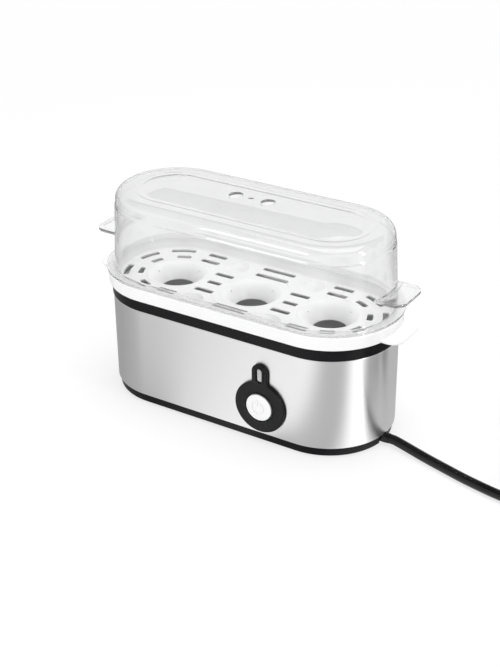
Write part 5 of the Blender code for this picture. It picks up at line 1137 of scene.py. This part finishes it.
def tones_round(tree, where, tones):
    """A brightness that changes with the direction round the object: 0 degrees is its front, 90 its lead."""
    turn = add_node(tree, "ShaderNodeMapping", {"Vector": where, "Rotation": (0, 0, math.pi / 2)})
    sweep = add_node(tree, "ShaderNodeTexGradient", {"Vector": turn.outputs["Vector"]}, gradient_type="RADIAL")
    return tone_ramp(tree, sweep.outputs["Fac"], [(degrees / 360 + 0.5, tone) for degrees, tone in tones])


def seen_rays(tree, path):
    return maths(tree, "MAXIMUM", path["Is Camera Ray"], path["Is Transmission Ray"])


def reflected_rays(tree, path):
    """One for a mirrored ray, and zero for one that only passes through clear plastic."""
    return maths(tree, "SUBTRACT", path["Is Glossy Ray"], path["Is Transmission Ray"], clamp=True)


def pale_floor():
    """White to the eye but for the shadow round the object, with its own tones for what mirrors it."""
    grid = bmesh.new()
    bmesh.ops.create_grid(grid, x_segments=1, y_segments=1, size=FLOOR_REACH)
    floor = add_object("floor", mesh_from(grid))
    made = bpy.data.materials.new("floor_white")
    made.use_nodes = True
    tree = made.node_tree
    tree.nodes.clear()
    path = add_node(tree, "ShaderNodeLightPath").outputs
    where = add_node(tree, "ShaderNodeTexCoord").outputs["Object"]
    matt = add_node(tree, "ShaderNodeBsdfDiffuse", {"Color": (*grey(0.86), 1)}).outputs[0]
    white = add_node(tree, "ShaderNodeEmission").outputs[0]
    mirrored = add_node(tree, "ShaderNodeEmission", {"Color": tones_round(tree, where, FLOOR_TONES)}).outputs[0]
    far = add_node(tree, "ShaderNodeVectorMath", {0: where}, operation="LENGTH").outputs["Value"]
    share = map_range(tree, far, *FLOOR_FADE, FLOOR_WHITE_SHARE)
    plain = blend_shaders(tree, maths(tree, "MULTIPLY", seen_rays(tree, path), share), matt, white)
    glossy = maths(tree, "MULTIPLY", reflected_rays(tree, path), FLOOR_MIRROR_SHARE)
    add_node(tree, "ShaderNodeOutputMaterial", {"Surface": blend_shaders(tree, glossy, plain, mirrored)})
    floor.data.materials.append(made)


def white_studio():
    """White to the eye, an even light on what is matt, and its own tones for what mirrors it."""
    world = bpy.data.worlds.new("studio")
    bpy.context.scene.world = world
    world.use_nodes = True
    tree = world.node_tree
    tree.nodes.clear()
    path = add_node(tree, "ShaderNodeLightPath").outputs
    where = add_node(tree, "ShaderNodeTexCoord").outputs["Generated"]
    height = add_node(tree, "ShaderNodeSeparateXYZ", {0: where}).outputs["Z"]
    tones = add_node(tree, "ShaderNodeMix", {
        "Factor": map_range(tree, height, *WALL_START),
        "A": tones_round(tree, where, WORLD_TONES),
        "B": tone_ramp(tree, height, WALL_TONES),
    }, data_type="RGBA").outputs["Result"]
    room, white, mirrored = [
        add_node(tree, "ShaderNodeBackground", {"Color": colour}).outputs[0]
        for colour in ((*grey(ROOM_LIGHT), 1), (*grey(1.0), 1), tones)
    ]
    plain = blend_shaders(tree, seen_rays(tree, path), room, white)
    whole = blend_shaders(tree, reflected_rays(tree, path), plain, mirrored)
    add_node(tree, "ShaderNodeOutputWorld", {"Surface": whole})


def soft_boxes():
    for name, place, aim, size, power, mirrored in SOFT_BOXES:
        lamp = bpy.data.lights.new(name, "AREA")
        lamp.shape = "RECTANGLE"
        lamp.size, lamp.size_y = size
        lamp.energy = power
        holder = add_object(name, lamp)
        holder.location = place
        holder.rotation_euler = (Vector(aim) - Vector(place)).to_track_quat("-Z", "Y").to_euler()
        holder.visible_glossy = mirrored


add_camera()
bpy.context.scene.view_settings.view_transform = "Standard"

black = moulded("black_moulding", (0.004, 0.004, 0.005), (0.007, 0.007, 0.008), 0.24, 0.34, specular=0.14)
gloss_black = moulded("black_gloss_moulding", (0.003, 0.003, 0.004), (0.006, 0.006, 0.007), 0.06, 0.10,
                      depth=0.000003, specular=0.2)
white = moulded("white_moulding", grey(0.795), grey(0.81), 0.28, 0.36, depth=0.000003)
button_white = moulded("button_moulding", grey(0.78), grey(0.81), 0.30, 0.40, depth=0.000003)
sheath = moulded("lead_sheath", grey(0.003), grey(0.006), 0.16, 0.24, specular=0.3)
rubber = moulded("foot_rubber_matt", grey(0.020), grey(0.034), 0.65, 0.85, 900.0, 0.00002)
silicone = moulded("silicone_grey", (0.50, 0.50, 0.49), (0.58, 0.58, 0.57), 0.5, 0.6)
steel = brushed_steel()
clear = clear_plastic()
coating = pan_coating()
metal = bare_metal("plated_metal", (0.55, 0.55, 0.53), (0.68, 0.68, 0.66))
brass = bare_metal("brass_blade", (0.66, 0.52, 0.27), (0.78, 0.64, 0.36))
nickel = bare_metal("nickel_pin", (0.66, 0.65, 0.62), (0.75, 0.74, 0.71), 0.22)
amber = lamp_glass()
brown = moulded("brown_insulation", (0.17, 0.07, 0.03), (0.22, 0.10, 0.05), 0.4, 0.5)
blue = moulded("blue_insulation", (0.03, 0.10, 0.38), (0.05, 0.14, 0.46), 0.4, 0.5)
green = moulded("earth_insulation", (0.30, 0.50, 0.06), (0.40, 0.62, 0.10), 0.4, 0.5)

plug = plug_moulding(sheath)
lead, lead_length = mains_lead(sheath)
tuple(CORD_ROUTE[0])
lead_sleeve(sheath)
steel_sleeve(steel)
black_rim(black)
black_base(black)
water_pan(coating)
slotted_tray(white)
clear_lid(clear)
control_disc(gloss_black)
lamp_window(frosted_plastic())
push_button(button_white)

# Nodes shown as modelled, with their finishes; those not named are plated metal
carried = {
    "foot_1": rubber, "foot_2": rubber, "foot_3": rubber, "foot_4": rubber, "coil_tie": rubber,
    "pan_seal": silicone, "lamp_holder": white, "indicator_lamp": amber, "switch_body": black, "cord_clamp": black,
    "cord_stub": sheath, "earth_tab": brass, "plug_pin_1": nickel, "plug_pin_2": nickel, "wire_live": brown,
    "wire_to_thermostat": brown, "wire_to_fuse": brown, "wire_to_element": brown, "wire_neutral": blue,
    "wire_lamp": blue, "wire_earth": green,
}
for name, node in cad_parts.items():
    node.data.materials.clear()
    node.data.materials.append(carried.get(name, metal))

pale_floor()
white_studio()
soft_boxes()
